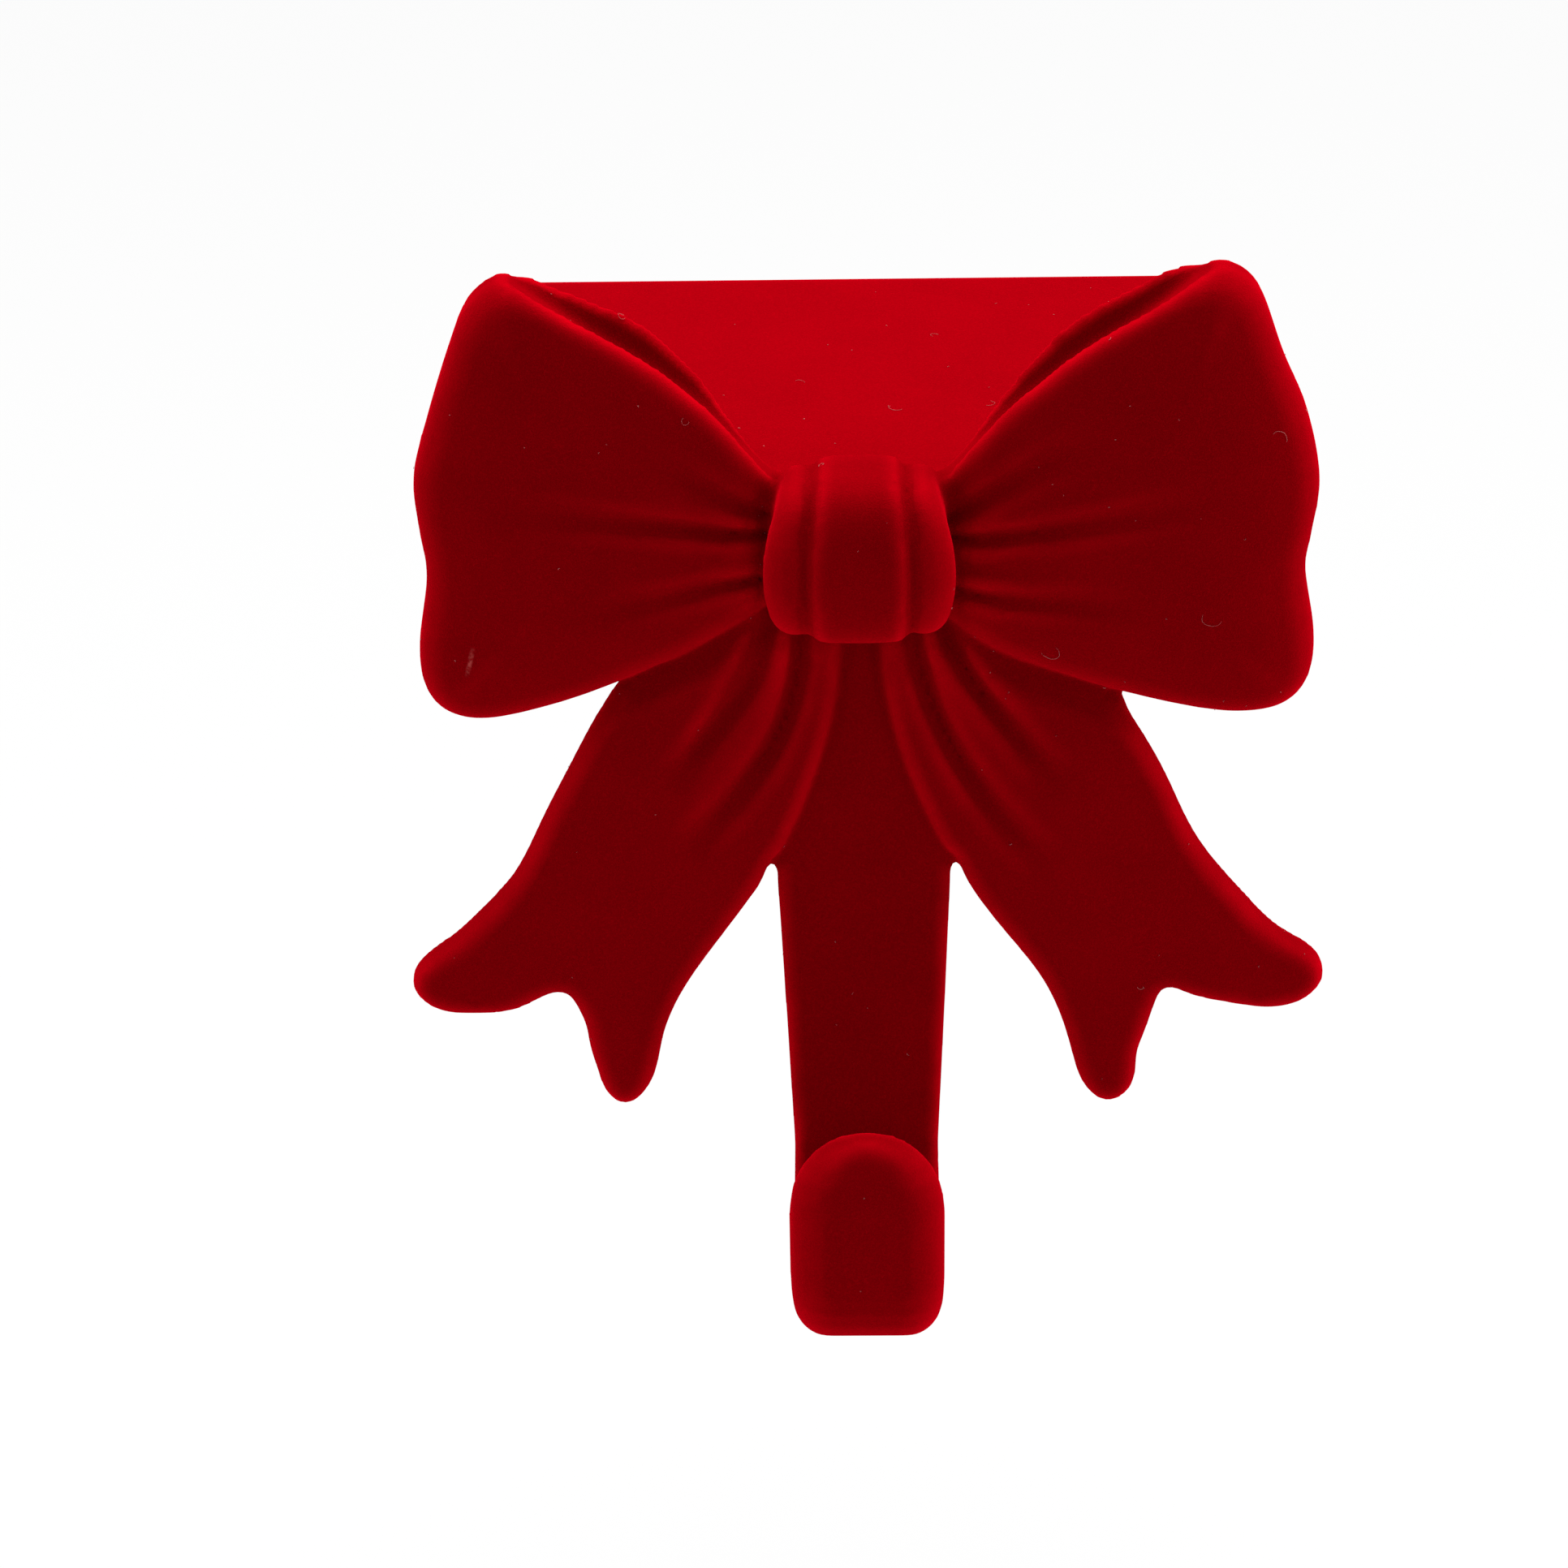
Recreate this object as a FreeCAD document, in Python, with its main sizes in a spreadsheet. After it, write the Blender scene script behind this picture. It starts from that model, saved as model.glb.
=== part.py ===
import FreeCAD, Part
import math
import os
import Sketcher
from FreeCAD import Vector

# A bow-shaped mantel stocking holder: one casting with a base plate that lies on the mantel,
# a drop with a strap that hangs in front of it, a J hook at the foot of the strap and a tied
# ribbon bow in front, and a thin grip pad stuck under the plate.
# +X is to the right of someone who faces the bow, +Y points into the mantel and +Z is up.
# The origin is on the mantel top, in line with the mantel's front face, on the bow's centre line.

doc = FreeCAD.newDocument("mantel_stocking_holder")
sheet = doc.addObject("Spreadsheet::Sheet", "sizes")

SIZES = [
    ("plate_width", 158.0, "base plate, side to side"),
    ("plate_depth", 106.5, "base plate, from the mantel's front face to its back edge"),
    ("plate_thick", 4.2, "base plate, wall"),
    ("plate_corner", 6.0, "base plate, rear corner radius"),
    ("plate_bevel", 1.2, "base plate, bevel of its upper edges"),
    ("pad_thick", 1.5, "grip pad, wall"),
    ("pad_margin", 14.0, "grip pad, distance from the plate's sides and back edge"),
    ("pad_setback", 12.0, "grip pad, distance from the mantel's front face"),
    ("pad_corner", 5.0, "grip pad, corner radius"),
    ("drop_thick", 5.0, "drop and strap, wall"),
    ("bend_round", 3.0, "rounding where the plate turns down into the drop"),
    ("flare_width", 104.0, "drop, width right under the plate"),
    ("flare_height", 52.0, "drop, height of the stretch that narrows to the strap"),
    ("strap_top_width", 37.0, "strap, width below the flare"),
    ("strap_foot_width", 29.6, "strap, width where the hook begins"),
    ("strap_round", 0.9, "strap, rounding of its front edges"),
    ("hook_drop", 160.35, "hook, depth of its underside below the mantel top"),
    ("hook_reach", 60.0, "hook, distance of its front from the mantel's front face"),
    ("hook_bend", 16.0, "hook, outer radius of its two bends"),
    ("hook_thick", 9.0, "hook, thickness at its bottom and tip"),
    ("hook_width", 30.3, "hook, width at its bottom and tip"),
    ("hook_round", 6.8, "hook, rounding of its outer long edges"),
    ("hook_inner_round", 1.8, "hook, rounding of its inner long edges"),
    ("tip_height", 50.5, "hook, height of its tip above its underside"),
    ("tip_dome", 17.0, "hook, height of the rounded end of the tip"),
    ("knot_width", 36.0, "knot, side to side at its middle"),
    ("knot_height", 29.0, "knot, top to bottom of the middle band"),
    ("knot_level", -5.6, "knot, height of its centre"),
    ("knot_depth", 26.0, "knot, front to back of the middle band"),
    ("knot_back", 1.0, "knot, distance of its back from the mantel's front face"),
    ("knot_groove", 1.5, "knot, depth of its two grooves"),
    ("knot_band", 21.0, "knot, width of its middle band"),
    ("knot_taper", 0.16, "knot, how much narrower it is at the top, as a share"),
    ("bow_back", 2.0, "bow, distance of its flat back from the mantel's front face"),
    ("left_reach", 85.0, "left loop, distance of its far side from the centre line"),
    ("left_rise", 47.9, "left loop, height of its top corner above the mantel top"),
    ("left_fall", 42.4, "left loop, depth of its lowest point below the mantel top"),
    ("right_reach", 86.6, "right loop, distance of its far side from the centre line"),
    ("right_rise", 49.2, "right loop, height of its top corner above the mantel top"),
    ("right_fall", 42.0, "right loop, depth of its lowest point below the mantel top"),
    ("loop_belly", 15.0, "loops, thickness at the middle of their length"),
    ("loop_waist", 6.5, "loops, thickness beside the knot"),
    ("loop_brim", 9.5, "loops, thickness at the far side"),
    ("loop_crown", 2.2, "loops, how far the front face falls from its middle to its rims"),
    ("loop_round", 3.6, "loops, rounding of the front rim"),
    ("back_layer", 4.6, "loops, thickness of the rear ribbon layer"),
    ("recess_gap", 4.2, "loops, gap between the two ribbon layers at the top rim"),
    ("recess_deep", 6.0, "loops, depth of that gap"),
    ("pleat_wide", 3.6, "loops and tails, radius of the pleats beside the knot"),
    ("pleat_deep", 2.6, "loops and tails, depth of the pleats beside the knot"),
    ("left_tail_reach", 91.6, "left tail, distance of its outer tip from the centre line"),
    ("right_tail_reach", 92.55, "right tail, distance of its outer tip from the centre line"),
    ("tail_fall", 131.8, "tails, depth of their inner tips below the mantel top"),
    ("tail_thick", 8.5, "tails, thickness"),
    ("tail_crown", 1.2, "tails, how far the front face falls from its middle to its rims"),
    ("tail_round", 2.8, "tails, rounding of the front rim"),
]

for row, (alias, value, meaning) in enumerate(SIZES, start=1):
    sheet.set(f"A{row}", alias)
    sheet.set(f"B{row}", str(value))
    sheet.set(f"C{row}", meaning)
    sheet.setAlias(f"B{row}", alias)
doc.recompute()


def size(alias):
    """The value that the sheet holds under this name, in millimetres."""
    return float(sheet.get(alias))


def spline(points, closed=False):
    """A smooth curve through the points."""
    curve = Part.BSplineCurve()
    curve.interpolate([Vector(*p) for p in points], PeriodicFlag=closed)
    return curve

# Outlines, seen from the front. Each point is a share of the part's own reach, and a share of its
# rise where it is above the mantel top or of its fall where it is below. They run from the knot
# along the upper rim to the far side and back along the lower rim.
LEFT_LOOP = [
    (0.140, 0.010), (0.200, 0.140), (0.353, 0.480), (0.518, 0.752), (0.659, 0.902), (0.771, 1.000),
    (0.837, 0.928), (0.900, 0.689), (0.974, 0.313), (0.994, 0.084), (0.976, -0.290),
    (1.000, -0.660), (0.971, -0.900), (0.882, -1.000), (0.670, -0.882), (0.424, -0.692),
    (0.208, -0.489), (0.140, -0.400),
]
RIGHT_LOOP = [
    (0.140, 0.010), (0.196, 0.132), (0.330, 0.490), (0.480, 0.732), (0.633, 0.888), (0.754, 1.000),
    (0.842, 0.930), (0.905, 0.640), (0.968, 0.355), (0.993, 0.120), (0.984, -0.080),
    (0.971, -0.280), (1.000, -0.680), (0.968, -0.900), (0.860, -1.000), (0.645, -0.905),
    (0.447, -0.768), (0.194, -0.524), (0.140, -0.450),
]
LEFT_TAIL = [
    (0.180, -0.080), (0.511, -0.275), (0.596, -0.362), (0.680, -0.478), (0.766, -0.592),
    (0.880, -0.684), (0.975, -0.746), (1.000, -0.786), (0.960, -0.825), (0.865, -0.838),
    (0.762, -0.829), (0.670, -0.802), (0.640, -0.824), (0.596, -0.945), (0.570, -0.988),
    (0.540, -1.000), (0.500, -0.984), (0.452, -0.888), (0.405, -0.803), (0.340, -0.731),
    (0.190, -0.570), (0.108, -0.438), (0.056, -0.303), (0.040, -0.190),
    (0.040, -0.080),
]
RIGHT_TAIL = [
    (0.170, -0.080), (0.534, -0.290), (0.612, -0.388), (0.690, -0.505), (0.760, -0.588),
    (0.845, -0.661), (0.925, -0.709), (0.988, -0.750), (1.000, -0.782), (0.966, -0.818),
    (0.868, -0.836), (0.790, -0.829), (0.690, -0.806), (0.657, -0.800), (0.636, -0.824),
    (0.616, -0.910), (0.580, -0.984), (0.536, -1.000), (0.495, -0.982), (0.458, -0.917),
    (0.391, -0.785), (0.303, -0.696), (0.190, -0.571), (0.098, -0.425), (0.048, -0.290),
    (0.034, -0.190), (0.034, -0.080),
]

# Pleats, seen from the front, in the same shares. Each runs out from the knot and fades.
LEFT_LOOP_PLEATS = [
    [(0.190, 0.040), (0.290, 0.115), (0.400, 0.205), (0.540, 0.310)],
    [(0.190, -0.030), (0.466, 0.021), (0.644, 0.094), (0.820, 0.148)],
    [(0.190, -0.250), (0.390, -0.330), (0.590, -0.390)],
]
RIGHT_LOOP_PLEATS = [
    [(0.190, -0.040), (0.340, 0.100), (0.487, 0.287), (0.590, 0.380)],
    [(0.190, -0.190), (0.360, -0.080), (0.508, -0.017), (0.660, 0.060), (0.800, 0.114)],
    [(0.190, -0.350), (0.360, -0.375), (0.513, -0.395), (0.620, -0.420)],
]
LEFT_TAIL_PLEATS = [
    [(0.175, -0.145), (0.277, -0.272), (0.367, -0.379), (0.440, -0.470)],
    [(0.130, -0.160), (0.151, -0.327), (0.231, -0.448), (0.340, -0.565)],
]
RIGHT_TAIL_PLEATS = [
    [(0.155, -0.145), (0.233, -0.276), (0.345, -0.384), (0.420, -0.470)],
    [(0.095, -0.160), (0.158, -0.342), (0.234, -0.451), (0.340, -0.560)],
]

# How finely the curved faces are described: stations along a ribbon and steps across it, bands in
# the rounding of its rim, and steps in the other curves.
FRONT_STATIONS = 8
FRONT_STEPS = 6
RIM_BANDS = 2
FLARE_STEPS = 8
BEND_STEPS = 6
KNOT_POINTS = 16
PLEAT_STEPS = 6
RECESS_STEPS = 8

# The ribbon's front: the shares of its length where it starts and ends, how far it reaches past the
# rims in millimetres, how far out its fall still grows, and how far the rim's rounding turns.
FRONT_START = 0.04
FRONT_END = 1.08
SKIRT = 7.0
CROWN_LIMIT = 1.6
RIM_TURN = 66.0

# How the drop's flare curves, the heights on the tip's dome as shares, and how far the tip's front
# and back lean in towards its top.
FLARE_POWER = 2.6
TIP_RISES = (0.0, 0.30, 0.55, 0.75, 0.88, 0.96, 0.995)
TIP_LEAN = 0.42
TIP_BACK = 0.12

# The knot from its middle to one side: shares of the half width, and of the full section there. The
# groove lies between the first two and the last four. Then how square its section is.
KNOT_MIDDLE = [(0.0, 1.0), (0.86, 0.965)]
KNOT_SIDE = [(0.16, 0.91), (0.53, 0.93), (0.88, 0.80), (1.0, 0.62)]
GROOVE_FULLNESS = 0.97
KNOT_POWER = 0.8

# A pleat's section in shares of its width and depth, how it narrows and fades towards its end, and
# how far it lifts clear there. Then the point of a loop's outline where its upper rim ends, where on
# that rim the gap between the layers starts and ends, and how blunt its ends are.
PLEAT_SHAPE = [(-1.5, -0.7), (-0.45, 0.55), (0.0, 1.0), (0.45, 0.55), (1.5, -0.7)]
PLEAT_NARROWS = 0.5
PLEAT_FADE = 1.4
PLEAT_LIFT = 0.3
RIM_CORNER = 6
RECESS_START = 0.06
RECESS_END = 0.97
RECESS_BLUNT = 0.6


def plane_of(body, role):
    """The body's own origin plane with this role."""
    for item in body.Origin.OriginFeatures:
        if item.Role == role:
            return item
    raise ValueError(f"no plane {role}")


def rectangle(sketch, left, right, low, high):
    """A rectangle whose four sides stand at the given expressions of the sheet."""
    corners = [Vector(-1, -1, 0), Vector(1, -1, 0), Vector(1, 1, 0), Vector(-1, 1, 0)]
    for number in range(4):
        sketch.addGeometry(Part.LineSegment(corners[number], corners[(number + 1) % 4]), False)
    for number in range(4):
        sketch.addConstraint(Sketcher.Constraint("Coincident", number, 2, (number + 1) % 4, 1))
    for number, kind in enumerate(("Horizontal", "Vertical", "Horizontal", "Vertical")):
        sketch.addConstraint(Sketcher.Constraint(kind, number))
    for kind, point, expression in (
        ("DistanceX", 1, left), ("DistanceX", 2, right), ("DistanceY", 1, low), ("DistanceY", 3, high),
    ):
        line = 1 if point == 2 else 0
        line = 2 if point == 3 else line
        number = sketch.addConstraint(Sketcher.Constraint(kind, -1, 1, line, 1, 1.0))
        sketch.setExpression(f"Constraints[{number}]", expression)


def sketch_on(body, name, role, offset=None):
    """A sketch on one of the body's origin planes, moved off it by an expression."""
    sketch = body.newObject("Sketcher::SketchObject", name)
    sketch.AttachmentSupport = [(plane_of(body, role), "")]
    sketch.MapMode = "FlatFace"
    if offset:
        sketch.setExpression(".AttachmentOffset.Base.z", offset)
    return sketch


def pad(body, name, sketch, length, both=False):
    """The sketch made solid by this much along its normal."""
    item = body.newObject("PartDesign::Pad", name)
    item.Profile = sketch
    item.setExpression("Length", length)
    item.Midplane = both
    sketch.Visibility = False
    doc.recompute()
    return item


def dress(body, name, kind, property_name, base, keep, length):
    """The edges of the base that keep accepts, rounded or bevelled by the named size."""
    names = [f"Edge{n}" for n, edge in enumerate(base.Shape.Edges, start=1) if keep(edge.BoundBox)]
    item = body.newObject(f"PartDesign::{kind}", name)
    item.Base = (base, names)
    item.setExpression(property_name, length)
    doc.recompute()
    return item


def fillet(body, name, base, keep, radius):
    """The edges of the base that keep accepts, rounded by the named size."""
    return dress(body, name, "Fillet", "Radius", base, keep, radius)


def near(a, b):
    """Whether two lengths are the same but for rounding errors."""
    return abs(a - b) < 1e-4


def draw(sketch, paths):
    """Lines and splines joined end to end in the sketch."""
    for points in paths:
        if len(points) == 2:
            piece = Part.LineSegment(Vector(*points[0], 0), Vector(*points[1], 0))
        else:
            piece = spline([(x, z, 0) for x, z in points])
        sketch.addGeometry(piece, False)
    for number in range(len(paths)):
        following = (number + 1) % len(paths)
        sketch.addConstraint(Sketcher.Constraint("Coincident", number, 2, following, 1))


def make_bracket():
    """The base plate, and the drop that narrows from its front edge to the strap."""
    body = doc.addObject("PartDesign::Body", "bracket")
    base = sketch_on(body, "plate_outline", "XY_Plane", "sizes.pad_thick")
    half = "sizes.plate_width / 2"
    rectangle(base, f"-({half})", half, "-sizes.drop_thick", "sizes.plate_depth")
    plate = pad(body, "plate", base, "sizes.plate_thick")
    back = size("plate_depth")
    front = -size("drop_thick")
    under = size("pad_thick")
    top = under + size("plate_thick")
    wide = size("plate_width") / 2
    plate = fillet(
        body, "plate_corners", plate,
        lambda box: near(box.YMin, back) and near(box.YMax, back) and near(box.XMin, box.XMax),
        "sizes.plate_corner",
    )
    plate = dress(
        body, "plate_rim", "Chamfer", "Size", plate,
        lambda box: near(box.ZMin, top) and near(box.ZMax, top) and box.YMax > 0.1,
        "sizes.plate_bevel",
    )
    drop = sketch_on(body, "drop_outline", "XZ_Plane")
    foot = size("hook_bend") - size("hook_drop")
    crest = under + size("plate_thick") / 2
    neck = crest - size("flare_height")
    edge = size("flare_width") / 2
    shoulder = size("strap_top_width") / 2
    ankle = size("strap_foot_width") / 2
    curve = []
    for step in range(FLARE_STEPS + 1):
        part = step / FLARE_STEPS
        curve.append((shoulder + (edge - shoulder) * (1 - part) ** FLARE_POWER, crest + (neck - crest) * part))
    paths = [
        [(x, z) for x, z in curve],
        [curve[-1], (ankle, foot)],
        [(ankle, foot), (-ankle, foot)],
        [(-ankle, foot), (-curve[-1][0], curve[-1][1])],
        [(-x, z) for x, z in reversed(curve)],
        [(-edge, crest), (edge, crest)],
    ]
    draw(drop, paths)
    strap = pad(body, "drop", drop, "sizes.drop_thick")
    strap = fillet(
        body, "bend", strap,
        lambda box: near(box.ZMin, top) and near(box.ZMax, top) and near(box.YMin, front)
        and near(box.YMax, front) and box.XMax - box.XMin > 1,
        "sizes.bend_round",
    )
    body.Tip = strap
    return body


def strip_section(spot, inward, half, thick, outer, inner):
    """A cross-section of the strip with four rounded corners.

    spot is the middle of its outer face and inward points through the wall.
    """
    diagonal = 1 - math.sqrt(0.5)

    def corner(side, deep, turn, radius):
        """A corner's point on the face, the middle of its arc and its point on the side."""
        near_middle = radius * diagonal
        return [
            spot + Vector(side * (half - radius), 0, 0) + inward * deep,
            spot + Vector(side * (half - near_middle), 0, 0) + inward * (deep + turn * near_middle),
            spot + Vector(side * half, 0, 0) + inward * (deep + turn * radius),
        ]

    corners = [
        corner(1, 0, 1, outer),
        list(reversed(corner(1, thick, -1, inner))),
        corner(-1, thick, -1, inner),
        list(reversed(corner(-1, 0, 1, outer))),
    ]
    edges = []
    for here, following in zip(corners, corners[1:] + corners[:1]):
        edges.append(Part.Arc(*here).toShape())
        edges.append(Part.makeLine(here[-1], following[0]))
    return Part.Wire(edges)


def make_hook():
    """The J at the foot of the strap: it thickens round the first bend and ends in a plump tip."""
    reach = size("hook_reach")
    bend = size("hook_bend")
    floor = -size("hook_drop")
    heel = floor + bend
    wall = size("drop_thick")
    thick = size("hook_thick")
    ankle = size("strap_foot_width") / 2
    half = size("hook_width") / 2
    crisp = size("strap_round")
    outer = size("hook_round")
    inner = size("hook_inner_round")
    dome = size("tip_dome")
    shoulder = floor + size("tip_height") - dome

    sections = []
    for step in range(BEND_STEPS + 1):
        part = step / BEND_STEPS
        turn = math.radians(90) * part
        inward = Vector(0, -math.cos(turn), math.sin(turn))
        spot = Vector(0, -bend, heel) - inward * bend
        sections.append((
            spot, inward,
            ankle + (half - ankle) * part,
            wall + (thick - wall) * part,
            crisp + (outer - crisp) * part,
            crisp + (inner - crisp) * part,
        ))
    for step in range(BEND_STEPS + 1):
        turn = math.radians(90) * step / BEND_STEPS
        inward = Vector(0, math.sin(turn), math.cos(turn))
        spot = Vector(0, bend - reach, heel) - inward * bend
        sections.append((spot, inward, half, thick, outer, inner))
    inward = Vector(0, 1, 0)
    for rise in TIP_RISES:
        share = math.sqrt(1 - rise ** 2)
        lean = TIP_LEAN * (1 - share)
        spot = Vector(0, thick * lean - reach, shoulder + dome * rise)
        sections.append((
            spot, inward, half * share, thick * (1 - lean - TIP_BACK * (1 - share)),
            outer * (1 - lean) * share ** 0.5, inner * share,
        ))
    wires = [strip_section(*section) for section in sections]
    return feature("hook_strip", Part.makeLoft(wires, True, True))


def trace(shares, side, reach, rise, fall):
    """An outline in millimetres, as x and z, mirrored to the left where side is -1."""
    return [(side * across * reach, up * (rise if up > 0 else fall)) for across, up in shares]


def blend(table, share):
    """A smooth value between the rows of a short table of share and value."""
    for (s0, v0), (s1, v1) in zip(table, table[1:]):
        if share <= s1:
            part = max(0.0, (share - s0) / (s1 - s0))
            part = part * part * (3 - 2 * part)
            return v0 + (v1 - v0) * part
    return table[-1][1]


class Ribbon:
    """A flat-backed length of ribbon: an outline, and a domed front over it.

    along is 0 where the ribbon runs along x and 1 where it runs down along z. Stations are shares
    of its length, and s is the share across it, from one rim to the other.
    """

    def __init__(self, points, side, along, length, first, last, thick, crown):
        self.points = points
        self.side = side
        self.along = along
        self.length = length
        self.first = first
        self.last = last
        self.thick = thick
        self.crown = crown

    def span(self, station):
        """Both rims at this station, which is held between the first and the last."""
        place = self.length * min(max(station, self.first), self.last)
        found = []
        for a, b in zip(self.points, self.points[1:] + self.points[:1]):
            a0, b0 = a[self.along], b[self.along]
            if min(a0, b0) <= place <= max(a0, b0) and a0 != b0:
                part = (place - a0) / (b0 - a0)
                found.append(a[1 - self.along] + (b[1 - self.along] - a[1 - self.along]) * part)
        found.sort(key=lambda value: value if self.along == 0 else abs(value))
        return found[0], found[-1]

    def height(self, x, z):
        """Height of the domed front above the back."""
        place, across = ((x, z), (z, x))[self.along]
        station = place / self.length
        low, high = self.span(station)
        s = (across - low) / (high - low)
        return blend(self.thick, station) - self.crown * min(abs(2 * s - 1), CROWN_LIMIT) ** 2

    def front(self, back):
        """The domed front as a surface that reaches past every rim."""
        rows = []
        for number in range(FRONT_STATIONS + 1):
            station = FRONT_START + (FRONT_END - FRONT_START) * number / FRONT_STATIONS
            low, high = self.span(station)
            skirt = SKIRT / abs(high - low)
            row = []
            for step in range(FRONT_STEPS + 1):
                s = -skirt + (1 + 2 * skirt) * step / FRONT_STEPS
                fall = self.crown * min(abs(2 * s - 1), CROWN_LIMIT) ** 2
                depth = blend(self.thick, station) - fall
                spot = (station * self.length, low + (high - low) * s)
                row.append(Vector(spot[self.along], -back - depth, spot[1 - self.along]))
            rows.append(row)
        surface = Part.BSplineSurface()
        surface.interpolate(rows)
        return surface.toShape()


def rounded_block(points, back, rim, radius, far):
    """A block on the outline whose front rim is rounded where the front face will cut it.

    rim gives the height of the front above the back at a spot.
    """
    curve = spline([(x, 0, z) for x, z in points])
    knots = curve.getKnots()
    steps = [knots[0]]
    for before, after in zip(knots, knots[1:]):
        steps += [(before + after) / 2, after]
    spots = [curve.value(step) for step in steps]
    closing = (spots[0] - spots[-1]).normalize()
    inward = []
    for step in steps:
        along = curve.tangent(step)[0]
        inward.append(Vector(-along.z, 0, along.x))
    middle = len(spots) // 2
    centre = Part.Face(Part.Wire([curve.toShape(), Part.makeLine(spots[-1], spots[0])])).CenterOfMass
    if (centre - spots[middle]).dot(inward[middle]) < 0:
        inward = [direction * -1 for direction in inward]
    inward[0] = closing * -1
    inward[-1] = closing
    levels = [(0.0, None)]
    for step in range(RIM_BANDS + 1):
        turn = math.radians(RIM_TURN * step / RIM_BANDS)
        levels.append((radius * (1 - math.cos(turn)), radius * (1 - math.sin(turn))))
    wires = []
    for inset, below in levels:
        row = []
        for spot, direction in zip(spots, inward):
            place = spot + direction * inset
            edge = spot + direction * radius
            depth = back if below is None else back + rim(edge.x, edge.z) - below
            row.append(Vector(place.x, -depth, place.z))
        wires.append(row)
    wires.append([Vector(p.x, -far, p.z) for p in wires[-1]])
    outlines = []
    for row in wires:
        edge = Part.BSplineCurve()
        edge.interpolate(Points=row, Parameters=steps)
        outlines.append(Part.Wire([edge.toShape(), Part.makeLine(row[-1], row[0])]))
    return Part.makeLoft(outlines, True, True)


def feature(name, shape):
    """A shape of its own in the document."""
    item = doc.addObject("Part::Feature", name)
    item.Shape = shape
    return item


def ribbon_solid(name, ribbon, back, radius):
    """The ribbon's block, cut off by its domed front."""
    far = back + max(value for share, value in ribbon.thick) + radius
    block = feature(f"{name}_block", rounded_block(ribbon.points, back, ribbon.height, radius, far))
    face = ribbon.front(back)
    under = feature(f"{name}_front", face.extrude(Vector(0, far + back, 0)))
    solid = doc.addObject("Part::Common", name)
    solid.Base = block
    solid.Tool = under
    return solid


def make_pleat(name, ribbon, back, shares, reach, rise, fall):
    """A tapered groove that runs out from the knot along the front face and fades."""
    path = spline([(x, 0, z) for x, z in trace(shares, ribbon.side, reach, rise, fall)])
    wide = size("pleat_wide")
    deep = size("pleat_deep")
    wires = []
    for step in range(PLEAT_STEPS + 1):
        part = step / PLEAT_STEPS
        place = path.FirstParameter + (path.LastParameter - path.FirstParameter) * part
        spot = path.value(place)
        across = path.tangent(place)[0].cross(Vector(0, 1, 0)) * (wide * (1 - PLEAT_NARROWS * part))
        sink = deep * (1 - part) ** PLEAT_FADE
        lift = Vector(0, -back - ribbon.height(spot.x, spot.z) - PLEAT_LIFT * part, 0)
        ring = [
            spot + lift + across * sideways + Vector(0, sink * down, 0) for sideways, down in PLEAT_SHAPE
        ]
        wires.append(Part.makePolygon(ring + ring[:1]))
    return feature(name, Part.makeLoft(wires, True, True))


def make_recess(name, side, points, back):
    """The gap between the ribbon's two layers, open along the loop's upper rim."""
    rim = spline([(x, 0, z) for x, z in points[1:RIM_CORNER]])
    length = rim.LastParameter - rim.FirstParameter
    over = []
    under = []
    for step in range(RECESS_STEPS + 1):
        part = step / RECESS_STEPS
        place = rim.FirstParameter + length * (RECESS_START + (RECESS_END - RECESS_START) * part)
        spot = rim.value(place)
        along = rim.tangent(place)[0]
        inward = Vector(along.z, 0, -along.x) * side
        over.append(spot - inward * size("recess_deep"))
        under.append(spot + inward * (size("recess_deep") * math.sin(math.pi * part) ** RECESS_BLUNT))
    edges = [
        spline(under).toShape(), Part.makeLine(under[-1], over[-1]),
        spline(over).toShape(), Part.makeLine(over[0], under[0]),
    ]
    face = Part.Face(Part.Wire(Part.__sortEdges__(edges)))
    face.translate(Vector(0, -back - size("back_layer"), 0))
    return feature(name, face.extrude(Vector(0, -size("recess_gap"), 0)))


def cut_from(name, base, tools):
    """The base without the tools, one after another."""
    for number, tool in enumerate(tools, start=1):
        cut = doc.addObject("Part::Cut", f"{name}_{number}")
        cut.Base = base
        cut.Tool = tool
        base = cut
    return base


def make_loop(name, side, shares, pleats):
    """One loop of the bow, with the gap between its two layers and its pleats."""
    reach = size(f"{name}_reach")
    rise = size(f"{name}_rise")
    fall = size(f"{name}_fall")
    back = size("bow_back")
    points = trace(shares, side, reach, rise, fall)
    thick = [
        (0.05, size("loop_waist") - 0.5), (0.20, size("loop_waist")), (0.50, size("loop_belly")),
        (0.68, size("loop_belly")), (0.95, size("loop_brim")), (1.10, size("loop_brim") - 1.0),
    ]
    ribbon = Ribbon(points, side, 0, side * reach, 0.15, 0.93, thick, size("loop_crown"))
    solid = ribbon_solid(f"{name}_loop", ribbon, back, size("loop_round"))
    tools = [make_recess(f"{name}_recess", side, points, back)]
    for number, line in enumerate(pleats, start=1):
        tools.append(make_pleat(f"{name}_loop_pleat_{number}", ribbon, back, line, reach, rise, fall))
    return cut_from(f"{name}_loop_cut", solid, tools)


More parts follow.
